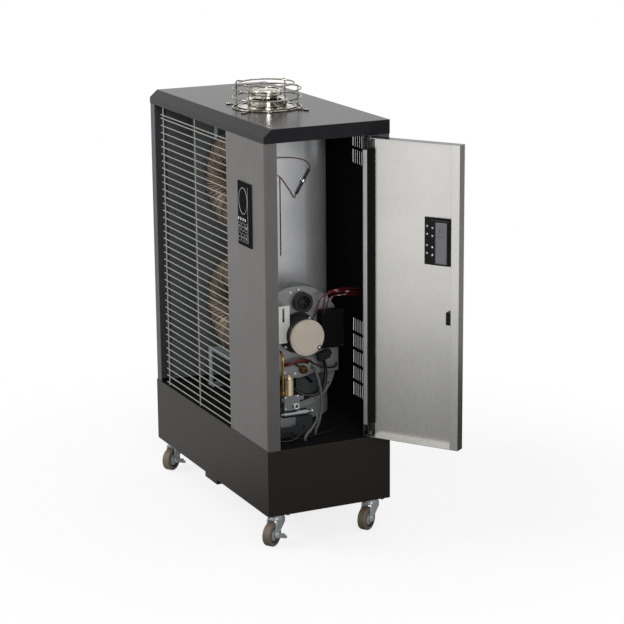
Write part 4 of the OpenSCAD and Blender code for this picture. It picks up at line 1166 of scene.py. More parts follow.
@dataclass
class Studio:
    """Floor, lights and the camera at the photograph's angle.

    Attributes:
        azimuth: The camera's turn round the heater, in degrees.
        elevation: The camera's height angle, in degrees.
        roll: The camera's roll, in degrees.
        distance: The camera's distance from its target.
        target: What the camera looks at.
        lens: Focal length for a 36 mm wide sensor.
        floor_radius: Radius of the floor, past which the room is plain white.
        pale_edge: X up to which the floor is pale, so that the front's sheen is bright.
        dark_edge: X from which it is dark, so that the open door shades off downwards.
        tones: The floor's pale and dark tone.
        shadow: Distances from the middle at which the shadow starts to fade and is gone.
        shadow_share: How much of the shadow shows to the camera.
        room_light: Strength of the white room as a light.
        lamps: Each lamp's name, place, width and height, and power in watts.
    """

    azimuth: float = 64.5644
    elevation: float = 14.3215
    roll: float = -0.482
    distance: float = 5.7263
    target: Point = (0.2938, 0.0, 0.6091)
    lens: float = 123.42
    floor_radius: float = 2.1
    pale_edge: float = -0.5
    dark_edge: float = 0.3
    tones: Pair = (0.8, 0.24)
    shadow: Pair = (0.7, 1.5)
    shadow_share: float = 0.18
    room_light: float = 0.42
    lamps: tuple[tuple[str, Point, Pair, float], ...] = (
        ("key_lamp", (-1.6, -4.2, 3.2), (2.4, 2.0), 130.0),
        ("fill_lamp", (5.2, -1.5, 2.3), (1.6, 1.6), 112.0),
        ("top_lamp", (0.2, 0.6, 4.2), (3.0, 2.2), 30.0),
    )

    def build(self) -> None:
        """Builds the camera, the floor, the world and the lamps."""
        self.camera()
        self.floor()
        self.world()
        for name, place, size, power in self.lamps:
            data = bpy.data.lights.new(name, "AREA")
            data.shape = "RECTANGLE"
            data.size, data.size_y = size
            data.energy = power
            aim = (Vector(self.target) - Vector(place)).to_track_quat("-Z", "Y")
            turn = aim.to_matrix().to_4x4()
            link(name, data).matrix_world = Matrix.Translation(place) @ turn
        bpy.context.scene.view_settings.view_transform = "Standard"

    def camera(self) -> None:
        """Places the camera."""
        turn, rise, roll = (math.radians(a) for a in (self.azimuth, self.elevation, self.roll))
        flat = math.cos(rise)
        back = Vector((math.sin(turn) * flat, -math.cos(turn) * flat, math.sin(rise)))
        level = Vector((math.cos(turn), math.sin(turn), 0.0))
        right = math.cos(roll) * level + math.sin(roll) * back.cross(level)
        up = back.cross(right)
        place = Vector(self.target) + back * self.distance
        data = bpy.data.cameras.new("camera")
        data.lens = self.lens
        data.sensor_width = 36.0
        camera = link("camera", data)
        rows = [(right[i], up[i], back[i], place[i]) for i in range(3)]
        camera.matrix_world = Matrix([*rows, (0.0, 0.0, 0.0, 1.0)])
        bpy.context.scene.camera = camera

    def floor(self) -> None:
        """Lays a pale round floor that shows white to the camera and keeps a soft shadow."""
        shape = bmesh.new()
        bmesh.ops.create_circle(shape, cap_ends=True, segments=96, radius=self.floor_radius)
        mesh = mesh_from(shape, "floor")
        floor = link("floor", mesh)
        # Matt painted floor with no sheen of its own. To all but camera rays its tone falls from
        # pale to dark
        # along X: painted light and shade that the tank's front and the open door reflect.
        made = bpy.data.materials.new("pale_studio_floor")
        made.use_nodes = True
        tree = made.node_tree
        tree.nodes.clear()
        coords = add_node(tree, "ShaderNodeTexCoord").outputs["Object"]
        speck = add_node(tree, "ShaderNodeTexNoise", {"Vector": coords, "Scale": 3.0})
        split = add_node(tree, "ShaderNodeSeparateXYZ", {0: coords}).outputs
        span = dict(enumerate((split["X"], self.pale_edge, self.dark_edge, *self.tones)))
        shade = add_node(tree, "ShaderNodeMapRange", span, interpolation_type="SMOOTHSTEP")
        mottle = {0: speck, 1: 0.04, 2: shade}
        tone = add_node(tree, "ShaderNodeMath", mottle, operation="MULTIPLY_ADD")
        away = add_node(tree, "ShaderNodeVectorMath", {0: coords}, operation="LENGTH").outputs
        span = dict(enumerate((away["Value"], *self.shadow, self.shadow_share, 0.0)))
        near = add_node(tree, "ShaderNodeMapRange", span, interpolation_type="SMOOTHSTEP")
        plain = add_node(tree, "ShaderNodeBsdfDiffuse", {"Color": tone})
        pale = add_node(tree, "ShaderNodeBsdfDiffuse", {"Color": (0.95, 0.95, 0.95, 1.0)})
        white = add_node(tree, "ShaderNodeEmission", {"Strength": 1.0})
        shown = add_node(tree, "ShaderNodeMixShader", {0: near, 1: white, 2: pale})
        seen = add_node(tree, "ShaderNodeLightPath").outputs["Is Camera Ray"]
        surface = add_node(tree, "ShaderNodeMixShader", {0: seen, 1: plain, 2: shown})
        add_node(tree, "ShaderNodeOutputMaterial", {"Surface": surface})
        mesh.materials.append(made)

    def world(self) -> None:
        """Lights the room evenly, and shows white to the camera and in reflections."""
        world = bpy.data.worlds.new("studio")
        bpy.context.scene.world = world
        world.use_nodes = True
        tree = world.node_tree
        tree.nodes.clear()
        path = add_node(tree, "ShaderNodeLightPath").outputs
        rays = {0: path["Is Camera Ray"], 1: path["Is Glossy Ray"]}
        seen = add_node(tree, "ShaderNodeMath", rays, operation="MAXIMUM")
        rays = {0: seen, 1: path["Is Transmission Ray"]}
        clear = add_node(tree, "ShaderNodeMath", rays, operation="MAXIMUM")
        span = {0: clear, 1: 0.0, 2: 1.0, 3: self.room_light, 4: 1.0}
        strength = add_node(tree, "ShaderNodeMapRange", span)
        glow = {"Color": (1.0, 1.0, 1.0, 1.0), "Strength": strength}
        light = add_node(tree, "ShaderNodeBackground", glow)
        add_node(tree, "ShaderNodeOutputWorld", {"Surface": light})


@dataclass
class Cabinet:
    """The sheet-metal cabinet, the tank base and the grille.

    Attributes:
        frame: The loaded frame.
        slots: Number of louvre slots in a row.
        slot_start: X of the first slot, in millimetres.
        slot_pitch: Spacing of the slots.
        slot_height: Height of a slot.
        slot_rows: Z of the bottom of each row of slots.
        back: Y of the rear panel's outside.
        blade: Depth and thickness of a louvre blade.
        lean: Angle at which a blade leans, in radians.
    """

    frame: dict[str, Any]
    slots: int = 7
    slot_start: float = 185.0
    slot_pitch: float = 13.0
    slot_height: float = 37.0
    slot_rows: tuple[float, ...] = (328, 374, 420, 466, 512, 983, 1029)
    back: float = 180.0
    blade: Pair = (5.4, 0.8)
    lean: float = -0.35

    def build(self) -> None:
        """Dresses the cabinet's nodes and leans a pressed blade over each rear slot."""
        dress(
            self.frame,
            {
                "top_cover": COVER_COAT,
                "left_panel": CABINET_COAT,
                "rear_post": CABINET_COAT,
                "rear_panel": INSIDE_BLACK,
                "front_column": COLUMN_COAT,
                "tank_skirt": TANK_COAT,
                "drain_guard": TANK_COAT,
                "deck_plate": INSIDE_BLACK,
                "fuel_tank": TANK_STEEL,
                "fuel_cap": BLACK_ABS,
                "wire_grille": WIRE_COAT,
                "reflectors": REFLECTOR,
                "partition": SHIELD_SHEET,
                "cable_gland": BLACK_ABS,
                "screws": ZINC,
                "caster_plates": CASTER_ZINC,
            },
        )
        blades = row_of_blades(LOUVRE_GREY)
        depth, thick = self.blade
        sizes = {
            "Count": self.slots,
            "Pitch": self.slot_pitch * MM,
            "Length": (self.slot_height + 5) * MM,
            "Depth": depth * MM,
            "Thickness": thick * MM,
            "Lean": self.lean,
        }
        shape = bmesh.new()
        # Seen from behind, a row runs back from its last slot to its first.
        last = self.slot_start + (self.slots - 1) * self.slot_pitch
        for row in self.slot_rows:
            level = row + self.slot_height / 2 - 2
            place = upright(BACK, mm(last, self.back + depth * 0.45, level))
            shape.from_mesh(blades.mesh("louvre_row", sizes, place))
        finish_piece("louvre_blades", shape, LOUVRE_GREY)


@dataclass
class ControlPanel:
    """The gloss keypad with its oval ring, lamps and film keys.

    Attributes:
        frame: The loaded frame.
        face: Y of the bezel's face, in millimetres.
        film: Lowest and highest X, then Z, of the key film.
        ring: Centre X and Z, and half width and half height of the oval.
        lamps: X of each lamp.
        lamp_z: Z of the lamps.
        keys: X and Z of the middle of the block of keys.
        key_pitch: Spacing of the keys.
        key_size: Width and height of a key.
        signs: X, Z, width and height of each bar of each key's plain sign.
    """

    frame: dict[str, Any]
    face: float = -183.0
    film: tuple[float, float, float, float] = (231, 295, 808, 970)
    ring: tuple[float, float, float, float] = (265, 924, 27, 35)
    lamps: tuple[float, ...] = (236, 250, 264.5, 278)
    lamp_z: float = 874.0
    keys: Pair = (262.5, 839.5)
    key_pitch: Pair = (21.5, 28.0)
    key_size: Pair = (17.5, 21.5)
    signs: tuple[tuple[tuple[float, float, float, float], ...], ...] = (
        ((0, 0, 8, 1.6),),
        ((0, 0, 8, 1.6), (0, 0, 1.6, 8)),
        ((-2.5, 0, 1.6, 8), (2.5, 0, 1.6, 8)),
        ((0, 3, 7, 1.5), (0, 0, 7, 1.5), (0, -3, 7, 1.5)),
        ((0, 0, 4, 4),),
        ((-3, 0, 2, 5), (0, 0, 2, 7), (3, 0, 2, 9)),
    )

    def build(self) -> None:
        """Builds the panel's printed and raised details."""
        dress(self.frame, {"control_panel": GLOSS_ACRYLIC})
        x0, x1, z0, z1 = self.film
        film = ((x0 + x1) / 2, (z0 + z1) / 2, -0.2, (x1 - x0, z1 - z0, 0.8))
        self.slabs("panel_film", KEY_FILM, (film,), 5, 0.4)
        self.print_lines_and_edge_highlight()
        lamps = [(x, self.lamp_z, 0.3, (4.5, 8, 0.9)) for x in self.lamps]
        self.slabs("panel_lamps", LAMP_PALE, lamps, 1.2, 0.4)
        marks = []
        for k, bars in enumerate(self.signs):
            x = self.keys[0] + (k % 3 - 1) * self.key_pitch[0]
            z = self.keys[1] + (k // 3 - 0.5) * self.key_pitch[1]
            marks += [(x + dx, z + dz, 0.4, (wide, tall, 0.5)) for dx, dz, wide, tall in bars]
        self.slabs("panel_marks", PRINT_AND_EDGE_HIGHLIGHT, marks, 0.4, 0.1)

    def wall(self, x: float, z: float, rise: float) -> Matrix:
        """Gives the matrix of a spot on the panel's face.

        Args:
            x: X of the spot, in millimetres.
            z: Z of the spot.
            rise: How far in front of the face it lies.

        Returns:
            The placing matrix.
        """
        return upright(FRONT, mm(x, self.face - rise, z))

    def slabs(
        self,
        name: str,
        finish: Finish,
        spots: Sequence[tuple[float, float, float, Point]],
        radius: float,
        bevel: float,
        shape: Shape | None = None,
    ) -> None:
        """Lays small plates on the panel's face as one piece.

        Args:
            name: The piece's name.
            finish: Its finish.
            spots: X, Z, rise and size of each plate, in millimetres.
            radius: Radius of the plates' corners.
            bevel: Width of their bevels.
            shape: What is already there, if anything.
        """
        shape = bmesh.new() if shape is None else shape
        for x, z, rise, size in spots:
            add_slab(shape, self.wall(x, z, rise), size, radius, bevel)
        finish_piece(name, shape, finish)

    def print_lines_and_edge_highlight(self) -> None:
        """Prints the oval and the key outlines, and lays a painted highlight along the film's edge.
        """
        shape = bmesh.new()
        x, z, half_w, half_h = self.ring
        sizes = {"Half Width": half_w * MM, "Half Height": half_h * MM, "Rod": 0.9 * MM}
        shape.from_mesh(oval_rod(PRINT_AND_EDGE_HIGHLIGHT).mesh("oval", sizes, self.wall(x, z, 0.4)))
        sizes = {
            "Pitch X": self.key_pitch[0] * MM,
            "Pitch Y": self.key_pitch[1] * MM,
            "Width": self.key_size[0] * MM,
            "Height": self.key_size[1] * MM,
            "Corner": 4 * MM,
            "Line": 0.55 * MM,
        }
        shape.from_mesh(grid_of_keys(PRINT_AND_EDGE_HIGHLIGHT).mesh("keys", sizes, self.wall(*self.keys, 0.4)))
        # The pale line along the film's right edge is a painted highlight on the raised plate's
        # edge.
        x1, z0, z1 = self.film[1:]
        edge = (x1 - 0.6, (z0 + z1) / 2, 0.3, (0.9, z1 - z0 - 12, 0.5))
        self.slabs("panel_lines", PRINT_AND_EDGE_HIGHLIGHT, (edge,), 0.3, 0.1, shape)


@dataclass
class HeatExchanger:
    """Heat tubes, bends, their brackets and the flue.

    Attributes:
        frame: The loaded frame.
        tube_y: Y of the tubes' axes, in millimetres.
        runs: Z of each straight run.
        left_end: X of the straight runs' left ends.
        right_end: X of the right ends that a bend joins.
        bead_ring: Radius at which a weld bead runs round a tube.
        bead: Radius of a weld bead.
    """

    frame: dict[str, Any]
    tube_y: float = -16.0
    runs: tuple[float, ...] = (440, 621, 802, 983)
    left_end: float = -142.0
    right_end: float = 0.5
    bead_ring: float = 57.4
    bead: float = 1.3

    def build(self) -> None:
        """Dresses the tubes and the flue outlet, and welds the joints."""
        dress(
            self.frame,
            {
                "heat_tubes": HEAT_STEEL,
                "tube_bends": BEND_STEEL,
                "flue_pipe": HEAT_STEEL,
                "tube_brackets": BRACKET_ZINC,
                "flue_base": COWL_STEEL,
                "flue_cowl": COWL_STEEL,
                "flue_guard": GUARD_WIRE,
            },
        )
        shape = bmesh.new()
        bead = oval_rod(HEAT_STEEL)
        reach = self.bead_ring * MM
        sizes = {"Half Width": reach, "Half Height": reach, "Rod": self.bead * MM}
        ends = [(self.left_end, z) for z in self.runs]
        ends += [(self.right_end, z) for z in self.runs[1:3]]
        for x, z in ends:
            shape.from_mesh(bead.mesh("bead", sizes, upright(RIGHT, mm(x, self.tube_y, z))))
        finish_piece("weld_beads", shape, HEAT_STEEL)


@dataclass
class Burner:
    """Burner drum, fan, motor, the controls round them and their wiring.

    Attributes:
        frame: The loaded frame.
        fan: Y and Z of the fan's axis, in millimetres.
        drum: Y and Z of the drum's axis.
        holder: Y and Z of the nozzle holder's axis.
        housing_face: X of the fan housing's front.
        motor_face: X of the motor flange's face.
        box_face: X of the ignition box's face.
        box: Lowest and highest Y, then Z, of the ignition box.
        cap_face: X of the motor cap's face.
        cap_boss: Y and Z of the boss on the motor's cap.
        wire: Radius of a wire.
        routes: Points of the four bundles.
        fullness: How far each route's wires spread; a bundle past the limit is doubled.
        double_from: That limit.
        layer: Height of the second layer in a doubled bundle, as a part of the first.
        seed: Seed of the wires' slack.
        slack: Least and most spread of a wire between its ends.
        end_spread: Spread of a wire at its ends.
        leads: Radius and route of each thick black lead.
        ways: Each wire's offset in its bundle.
        sleeves: Place and direction of each terminal sleeve.
        grommets: Z of each rear grommet.
        sensor_x: X of the overheat sensor.
        sensor_lean: The sensor's lean, in degrees.
        sensor_leads: Y and Z along each of the sensor's leads.
    """

    frame: dict[str, Any]
    fan: Pair = (-34.0, 552.0)
    drum: Pair = (-16.0, 440.0)
    holder: Pair = (-19.0, 447.0)
    housing_face: float = 272.8
    motor_face: float = 276.8
    box_face: float = 303.8
    box: tuple[float, float, float, float] = (24, 90, 506, 609)
    cap_face: float = 336.8
    cap_boss: Pair = (0.3, 521.6)
    wire: float = 1.15
    routes: tuple[Route, ...] = (
        (
            (284.8, 50, 609.3), (284.8, 50, 625), (286.8, 64, 643), (280.8, 100, 643),
            (264.8, 140, 635), (254.8, 163, 629), (254.8, 176.7, 629),
        ),
        (
            (296.8, 34, 609.3), (296.8, 34, 625), (296.8, 46, 657), (288.8, 84, 661),
            (270.8, 130, 655), (254.8, 163, 645), (254.8, 176.7, 645),
        ),
        (
            (273.1, -6, 468), (282.8, -6, 468), (290.8, -22, 476), (290.8, -56, 474),
            (282.8, -74, 468), (273.1, -74, 468),
        ),
        (
            (292, 2, 594), (296, 11, 606), (296, 15, 622), (298, 26, 646), (296, 56, 656),
            (286, 96, 654), (266, 142, 642), (254.8, 166, 637), (254.8, 176.7, 637),
        ),
    )
    fullness: tuple[float, ...] = (1.0, 1.0, 1.8, 1.0)
    double_from: float = 1.5
    layer: float = 0.4
    seed: int = 7
    slack: Pair = (0.7, 1.5)
    end_spread: float = 0.75
    leads: tuple[tuple[float, Route], ...] = (
        (5.0, (
            (306, 22, 480), (298, 32, 468), (290, 40, 447), (290, 41, 419), (290, 30, 387),
            (283, 8, 374), (272, -16, 375), (258, -36, 388), (240, -46, 396),
        )),
        (2.6, (
            (273.2, 2, 470), (284, 9, 462), (290, 30, 452), (290, 54, 447), (284, 74, 447),
            (273.2, 82, 454),
        )),
        (2.2, (
            (345, -160, 300), (345, -122, 306), (342, -95, 288), (340, -66, 277),
            (330, -30, 274.6), (318, 20, 274.6), (306, 60, 274.6),
        )),
        (2.2, (
            (335, -165, 285), (340, -112, 275), (345, -82, 277), (337, -54, 291),
            (322, -38, 302), (306, -34, 300),
        )),
        (1.8, (
            (352, -160, 276), (350, -128, 292), (344, -104, 300), (330, -80, 292),
            (318, -62, 276), (309, -30, 274.4),
        )),
    )
    ways: tuple[tuple[Finish, Point], ...] = (
        (WIRE_RED, (1.9, 0.5, 2.0)),
        (WIRE_RED, (-1.7, 1.6, 1.7)),
        (WIRE_BLACK, (1.5, -1.9, -1.8)),
        (WIRE_BROWN, (-2.1, -0.6, -1.9)),
        (WIRE_RED, (0.2, 0.1, -0.4)),
    )
    sleeves: tuple[tuple[Point, Point], ...] = (
        ((297.4, 40, 645), (0, 0.45, 1)),
        ((291.5, 72, 660.5), (-0.25, 1, 0.1)),
        ((286.5, 60, 639), (0.1, 0.8, 0.9)),
        ((283.5, 86, 644), (-0.2, 1, 0)),
        ((290.5, 78, 657), (-0.25, 1, -0.05)),
        ((281, 112, 651), (-0.4, 1, -0.15)),
        ((278, 106, 643), (-0.4, 1, -0.1)),
    )
    grommets: tuple[float, ...] = (629, 637, 645)
    sensor_x: float = 166.5
    sensor_lean: float = -31.0
    sensor_leads: tuple[tuple[Pair, ...], ...] = (
        ((15.5, 906), (10, 898), (-6, 924), (-40, 964), (-100, 980), (-130, 982)),
        ((56.5, 974), (58, 980), (44, 996), (10, 1006), (-40, 1010), (-130, 1010)),
    )

    def build(self) -> None:
        """Dresses the burner's nodes and adds its wires, screws and small fittings."""
        # Aluminised drum: a soft grey sheen, with the plate inside its rim a dark grey.
        drum = RoundZones(
            "burner_drum_metal",
            "#8b8d8c",
            0.42,
            0.6,
            grain=1.0,
            depth=0.1,
            edge=1.0,
            hub="#46484a",
            centre=tuple(mm(220, *self.drum)),
            reach=0.098,
        )
        dress(
            self.frame,
            {
                "burner_flange": ZINC,
                "burner_drum": drum,
                "fan_housing": CAST,
                "fan_impeller": ZINC,
                "fan_motor": MOTOR_ENAMEL,
                "motor_cap": MOTOR_CREAM,
                "air_port": BLACK_RUBBER,
                "scale_plate": PLATE_WHITE,
                "ignition_box": IGNITION_BLACK,
                "stay_bracket": CAST,
            },
        )
        self.wires()
        self.wire_ends()
        self.screws()
        self.nozzle_holder()
        self.motor_details()
        self.sensor()

    def wires(self) -> None:
        """Lays single insulated wires along the bundles' routes, then the thick leads."""
        draw = random.Random(self.seed)
        lines: dict[str, list[Route]] = {}
        for route, fullness in zip(self.routes, self.fullness):
            ways = list(self.ways)
            if fullness >= self.double_from:
                ways += [(finish, (-x, -y, -z * self.layer)) for finish, (x, y, z) in self.ways]
            for finish, (x, y, z) in ways:
                line = []
                for k, point in enumerate(route):
                    inside = 0 < k < len(route) - 1
                    spread = fullness * draw.uniform(*self.slack) if inside else self.end_spread
                    level = spread if inside else 0.0
                    shift = (x * spread, y * level, z * level)
                    line.append(tuple(p + s for p, s in zip(point, shift)))
                lines.setdefault(finish.name, []).append(tuple(line))
        for finish in (WIRE_RED, WIRE_BLACK, WIRE_BROWN):
            name = finish.name.replace("_sleeve", "s")
            mesh = tube_mesh(name, finish, self.wire, 8, lines[finish.name], 6)
            piece = finish_piece(name, mesh, finish)
            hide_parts("wire_harness")
        shape = bmesh.new()
        for radius, route in self.leads:
            shape.from_mesh(tube_mesh("lead", BLACK_RUBBER, radius, 12, (route,)))
        finish_piece("black_leads", shape, BLACK_RUBBER)

    def wire_ends(self) -> None:
        """Adds the terminal sleeves, the rear grommets and the plug on the motor's lead."""
        shape = bmesh.new()
        sleeve = [(0, -7), (1.9, -7), (2.4, -6), (2.4, 4), (1.7, 6.5), (1.7, 7.5), (0, 7.5)]
        for place, way in self.sleeves:
            add_lathe(shape, sleeve, way, place, 16)
        sleeves = finish_piece("terminal_sleeves", shape, TERMINAL)
        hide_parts("wire_harness")
        shape = bmesh.new()
        grommet = [(0, -6), (4.2, -6), (5.2, -5), (5.2, -3.5), (6.0, -2.5), (6.0, -0.3), (0, -0.3)]
        for z in self.grommets:
            add_lathe(shape, grommet, BACK, (254.8, 177, z), 32)
        first = len(shape.verts)
        add_box(shape, (0, 0, 0), (18, 36, 24), 2.5)
        add_box(shape, (3, 35, 6), (15, 42, 21), 1.5)
        add_box(shape, (18, 7, 7), (18.8, 29, 17), 0.3)
        shape.verts.ensure_lookup_table()
        turn = Matrix.Rotation(math.radians(18), 4, "X")
        plug = Matrix.Translation(mm(self.box_face + 0.3, 10, 474)) @ turn
        bmesh.ops.transform(shape, matrix=plug, verts=shape.verts[first:])
        grommets = finish_piece("plug_and_grommets", shape, BLACK_ABS)
        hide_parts("wire_harness")

    def screws(self) -> None:
        """Sets the screws of the fan housing, the motor flange and the ignition box."""
        tree = screws_on_a_circle(ZINC)
        shape = bmesh.new()
        housing = upright(RIGHT, mm(self.housing_face, *self.fan))
        add_screws(shape, tree, 3.2, housing, count=7, ring=116, start=42, step=45)
        flange = upright(RIGHT, mm(self.motor_face, *self.fan))
        add_screws(shape, tree, 2.8, flange, count=4, ring=50.5, start=45, step=90)
        add_screws(shape, tree, 2.8, upright(RIGHT, mm(self.cap_face + 2.6, *self.cap_boss)))
        finish_piece("burner_screws", shape, ZINC)
        tree = screws_on_a_circle(BLACK_ABS)
        shape = bmesh.new()
        y0, y1, z0, z1 = self.box
        for y in (y0 + 4, y1 - 4):
            for z in (z0 + 4, z1 - 4):
                add_screws(shape, tree, 1.9, upright(RIGHT, mm(self.box_face, y, z)))
        finish_piece("box_screws", shape, BLACK_ABS)

    def nozzle_holder(self) -> None:
        """Turns the brass union and its elbow, where the oil enters the burner head."""
        shape = bmesh.new()
        x = self.housing_face
        union = [(0, 0.2), (12, 0.2), (12, 6), (11, 7), (8, 7), (8, 15), (6, 16), (0, 16)]
        add_lathe(shape, union, RIGHT, (x, *self.holder), 24)
        nut = [(0, 0), (9.5, 0), (9.5, 8), (7, 9), (0, 9)]
        add_lathe(shape, nut, RIGHT, (x + 8, *self.holder), 6)
        elbow = (
            (x + 15, -19, 447), (x + 23, -20, 448), (x + 26, -28, 456), (x + 14, -40, 463),
            (x + 0.3, -42, 463),
        )
        shape.from_mesh(tube_mesh("elbow", DULL_BRASS, 2.4, 12, (elbow,)))
        finish_piece("nozzle_holder", shape, DULL_BRASS)

    def motor_details(self) -> None:
        """Turns the ridges of the motor's shell and the black boss on its cap."""
        shape = bmesh.new()
        ridge = [(43.5, 0), (45.2, 0.4), (45.2, 2.1), (43.5, 2.5)]
        for x in (286, 294, 302, 310, 318):
            add_lathe(shape, ridge, RIGHT, (x, *self.fan), 96)
        boss = [(0, -0.6), (6.2, -0.6), (6.2, 1.6), (5.4, 2.4), (3.6, 2.4), (3.2, 2.0), (0, 2.0)]
        add_lathe(shape, boss, RIGHT, (self.cap_face, *self.cap_boss), 32)
        finish_piece("motor_ridges", shape, MOTOR_ENAMEL)

    def sensor(self) -> None:
        """Builds the overheat sensor: a shrink sleeve, its clip and two thin leads."""
        x = self.sensor_x
        routes = [tuple((x, y, z) for y, z in lead) for lead in self.sensor_leads]
        mesh = tube_mesh("sensor_leads", WIRE_RED, 1.2, 10, routes)
        leads = finish_piece("sensor_leads", mesh, WIRE_RED)
        shape = bmesh.new()
        lean = math.radians(self.sensor_lean)
        way = (0.0, -math.sin(lean), math.cos(lean))
        shrunk = [
            (0, 0), (1.5, 0), (3.4, 2), (3.9, 6), (3.6, 20), (3.9, 36), (3.6, 56), (3.9, 72),
            (3.3, 76), (1.5, 78), (0, 78),
        ]
        add_lathe(shape, shrunk, way, (x, 16, 906), 24)
        add_slab(shape, upright(RIGHT, mm(161.5, -134, 996)), (8, 40, 8), 1, 1)
        sleeve = finish_piece("sensor_sleeve", shape, BLACK_RUBBER)
        shape = bmesh.new()
        add_slab(shape, upright(RIGHT, mm(161.5, 36, 942)), (22, 9, 1.2), 2, 0.3)
        band = [(4.2, -3.5), (4.9, -3.5), (4.9, 3.5), (4.2, 3.5), (4.2, -3.5)]
        add_lathe(shape, band, way, (x, 37.2, 941.4), 32)
        add_box(shape, (161.5, 35, 937.5), (x - 3.5, 39, 945), 0.3)
        add_screws(shape, screws_on_a_circle(ZINC), 2.4, upright(RIGHT, mm(162.9, 27.5, 942)))
        clip = finish_piece("sensor_clip", shape, ZINC)
        for piece in (leads, sleeve, clip):
            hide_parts("overheat_sensor")


@dataclass
class FuelSystem:
    """Pump, filter, hoses and the nozzle line.

    Attributes:
        frame: The loaded frame.
        hose_a: Points of the hose from the fan housing down to the tank, in millimetres.
        hose_b: Points of the hose from the filter down to the tank.
        line: Points of the nozzle line.
        hose_radius: Radius of a hose.
        line_radius: Radius of the nozzle line.
        nuts: Place, direction, radius and length of each flare nut.
        clamps: Place and direction of each hose clamp.
        pump_screws: Place of each screw of the pump and its coil.
    """

    frame: dict[str, Any]
    hose_a: Route = (
        (273.1, 10, 448), (284.8, 10, 448), (300.8, 16, 416), (304.8, 22, 354),
        (307, 12, 304), (306, 3, 282), (306, 2, 262), (306, 2, 240.8),
    )
    hose_b: Route = (
        (311.8, -17.7, 340), (311.8, -8, 340), (321.8, 0, 322), (338, -22, 302),
        (342, -44, 282), (342, -46, 262), (342, -46, 240.8),
    )
    line: Route = (
        (313.8, -97.5, 395), (313.8, -97.5, 410), (313.8, -97.5, 425), (312.8, -96.5, 465),
        (309.8, -94.5, 495), (297.8, -94.5, 509), (284.8, -94.5, 509), (273.1, -94.5, 509),
    )
    hose_radius: float = 4.0
    line_radius: float = 3.0
    nuts: tuple[tuple[Point, Point, float, float], ...] = (
        ((313.8, -97.5, 395.2), UP, 6.0, 9.0),
        ((273.4, -94.5, 509), RIGHT, 5.4, 8.0),
    )
    clamps: tuple[tuple[Point, Point], ...] = (((279, 10, 448), RIGHT), ((311.8, -13, 340), BACK))
    pump_screws: tuple[Point, ...] = (
        (327.8, -96, 359),
        (327.8, -59.5, 391),
        (327.8, -96, 391),
        (323.8, -62, 384.5),
        (323.8, -98, 384.5),
    )

    def build(self) -> None:
        """Dresses the fuel system's nodes and adds hoses, line and fittings."""
        dress(
            self.frame,
            {
                "fuel_pump": PUMP_IRON,
                "pump_coil": COIL_CAN,
                "fuel_filter": FILTER_SHELL,
                "air_duct": DUCT_GREY,
            },
        )
        routes = (self.hose_a, self.hose_b)
        mesh = tube_mesh("smooth_hoses", HOSE, self.hose_radius, 16, routes, 10)
        hoses = finish_piece("smooth_hoses", mesh, HOSE)
        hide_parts("fuel_hoses")
        mesh = tube_mesh("smooth_nozzle_line", BRASS, self.line_radius, 16, (self.line,), 10)
        line = finish_piece("smooth_nozzle_line", mesh, BRASS)
        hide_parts("nozzle_line")
        self.fittings()

    def fittings(self) -> None:
        """Turns the flare nuts, the hose clamps and the pump's port ring."""
        shape = bmesh.new()
        for place, way, radius, long in self.nuts:
            nut = [(0, 0), (radius, 0), (radius, long * 0.7), (radius * 0.72, long), (0, long)]
            add_lathe(shape, nut, way, place, 6)
        nuts = finish_piece("flare_nuts", shape, BRASS, angle=20)
        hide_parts("nozzle_line")
        shape = bmesh.new()
        band = [
            (3.9, -3), (4.7, -3), (5.0, -2.4), (4.6, -1.8), (4.6, 1.8), (5.0, 2.4), (4.7, 3),
            (3.9, 3),
        ]
        for place, way in self.clamps:
            add_lathe(shape, band, way, place, 32)
            x, y, z = place
            add_box(shape, (x - 2.5, y - 2.5, z + 4.2), (x + 2.5, y + 2.5, z + 8), 0.5)
        tree = screws_on_a_circle(ZINC)
        for place in self.pump_screws:
            add_screws(shape, tree, 2.2, upright(RIGHT, mm(*place)))
        ring = [(7.6, 0), (12.2, 0), (12.2, 2.2), (11.5, 2.6), (7.6, 2.6)]
        add_lathe(shape, ring, UP, (313.8, -79, 437.4), 48)
        finish_piece("fuel_screws", shape, ZINC)
        shape = bmesh.new()
        port = [(5.3, 0), (8.2, 0), (8.2, 1.2), (7.6, 1.8), (5.3, 1.8), (5.3, 0)]
        add_lathe(shape, port, RIGHT, (333.8, -67, 366), 40)
        finish_piece("port_ring", shape, PLATE_WHITE)


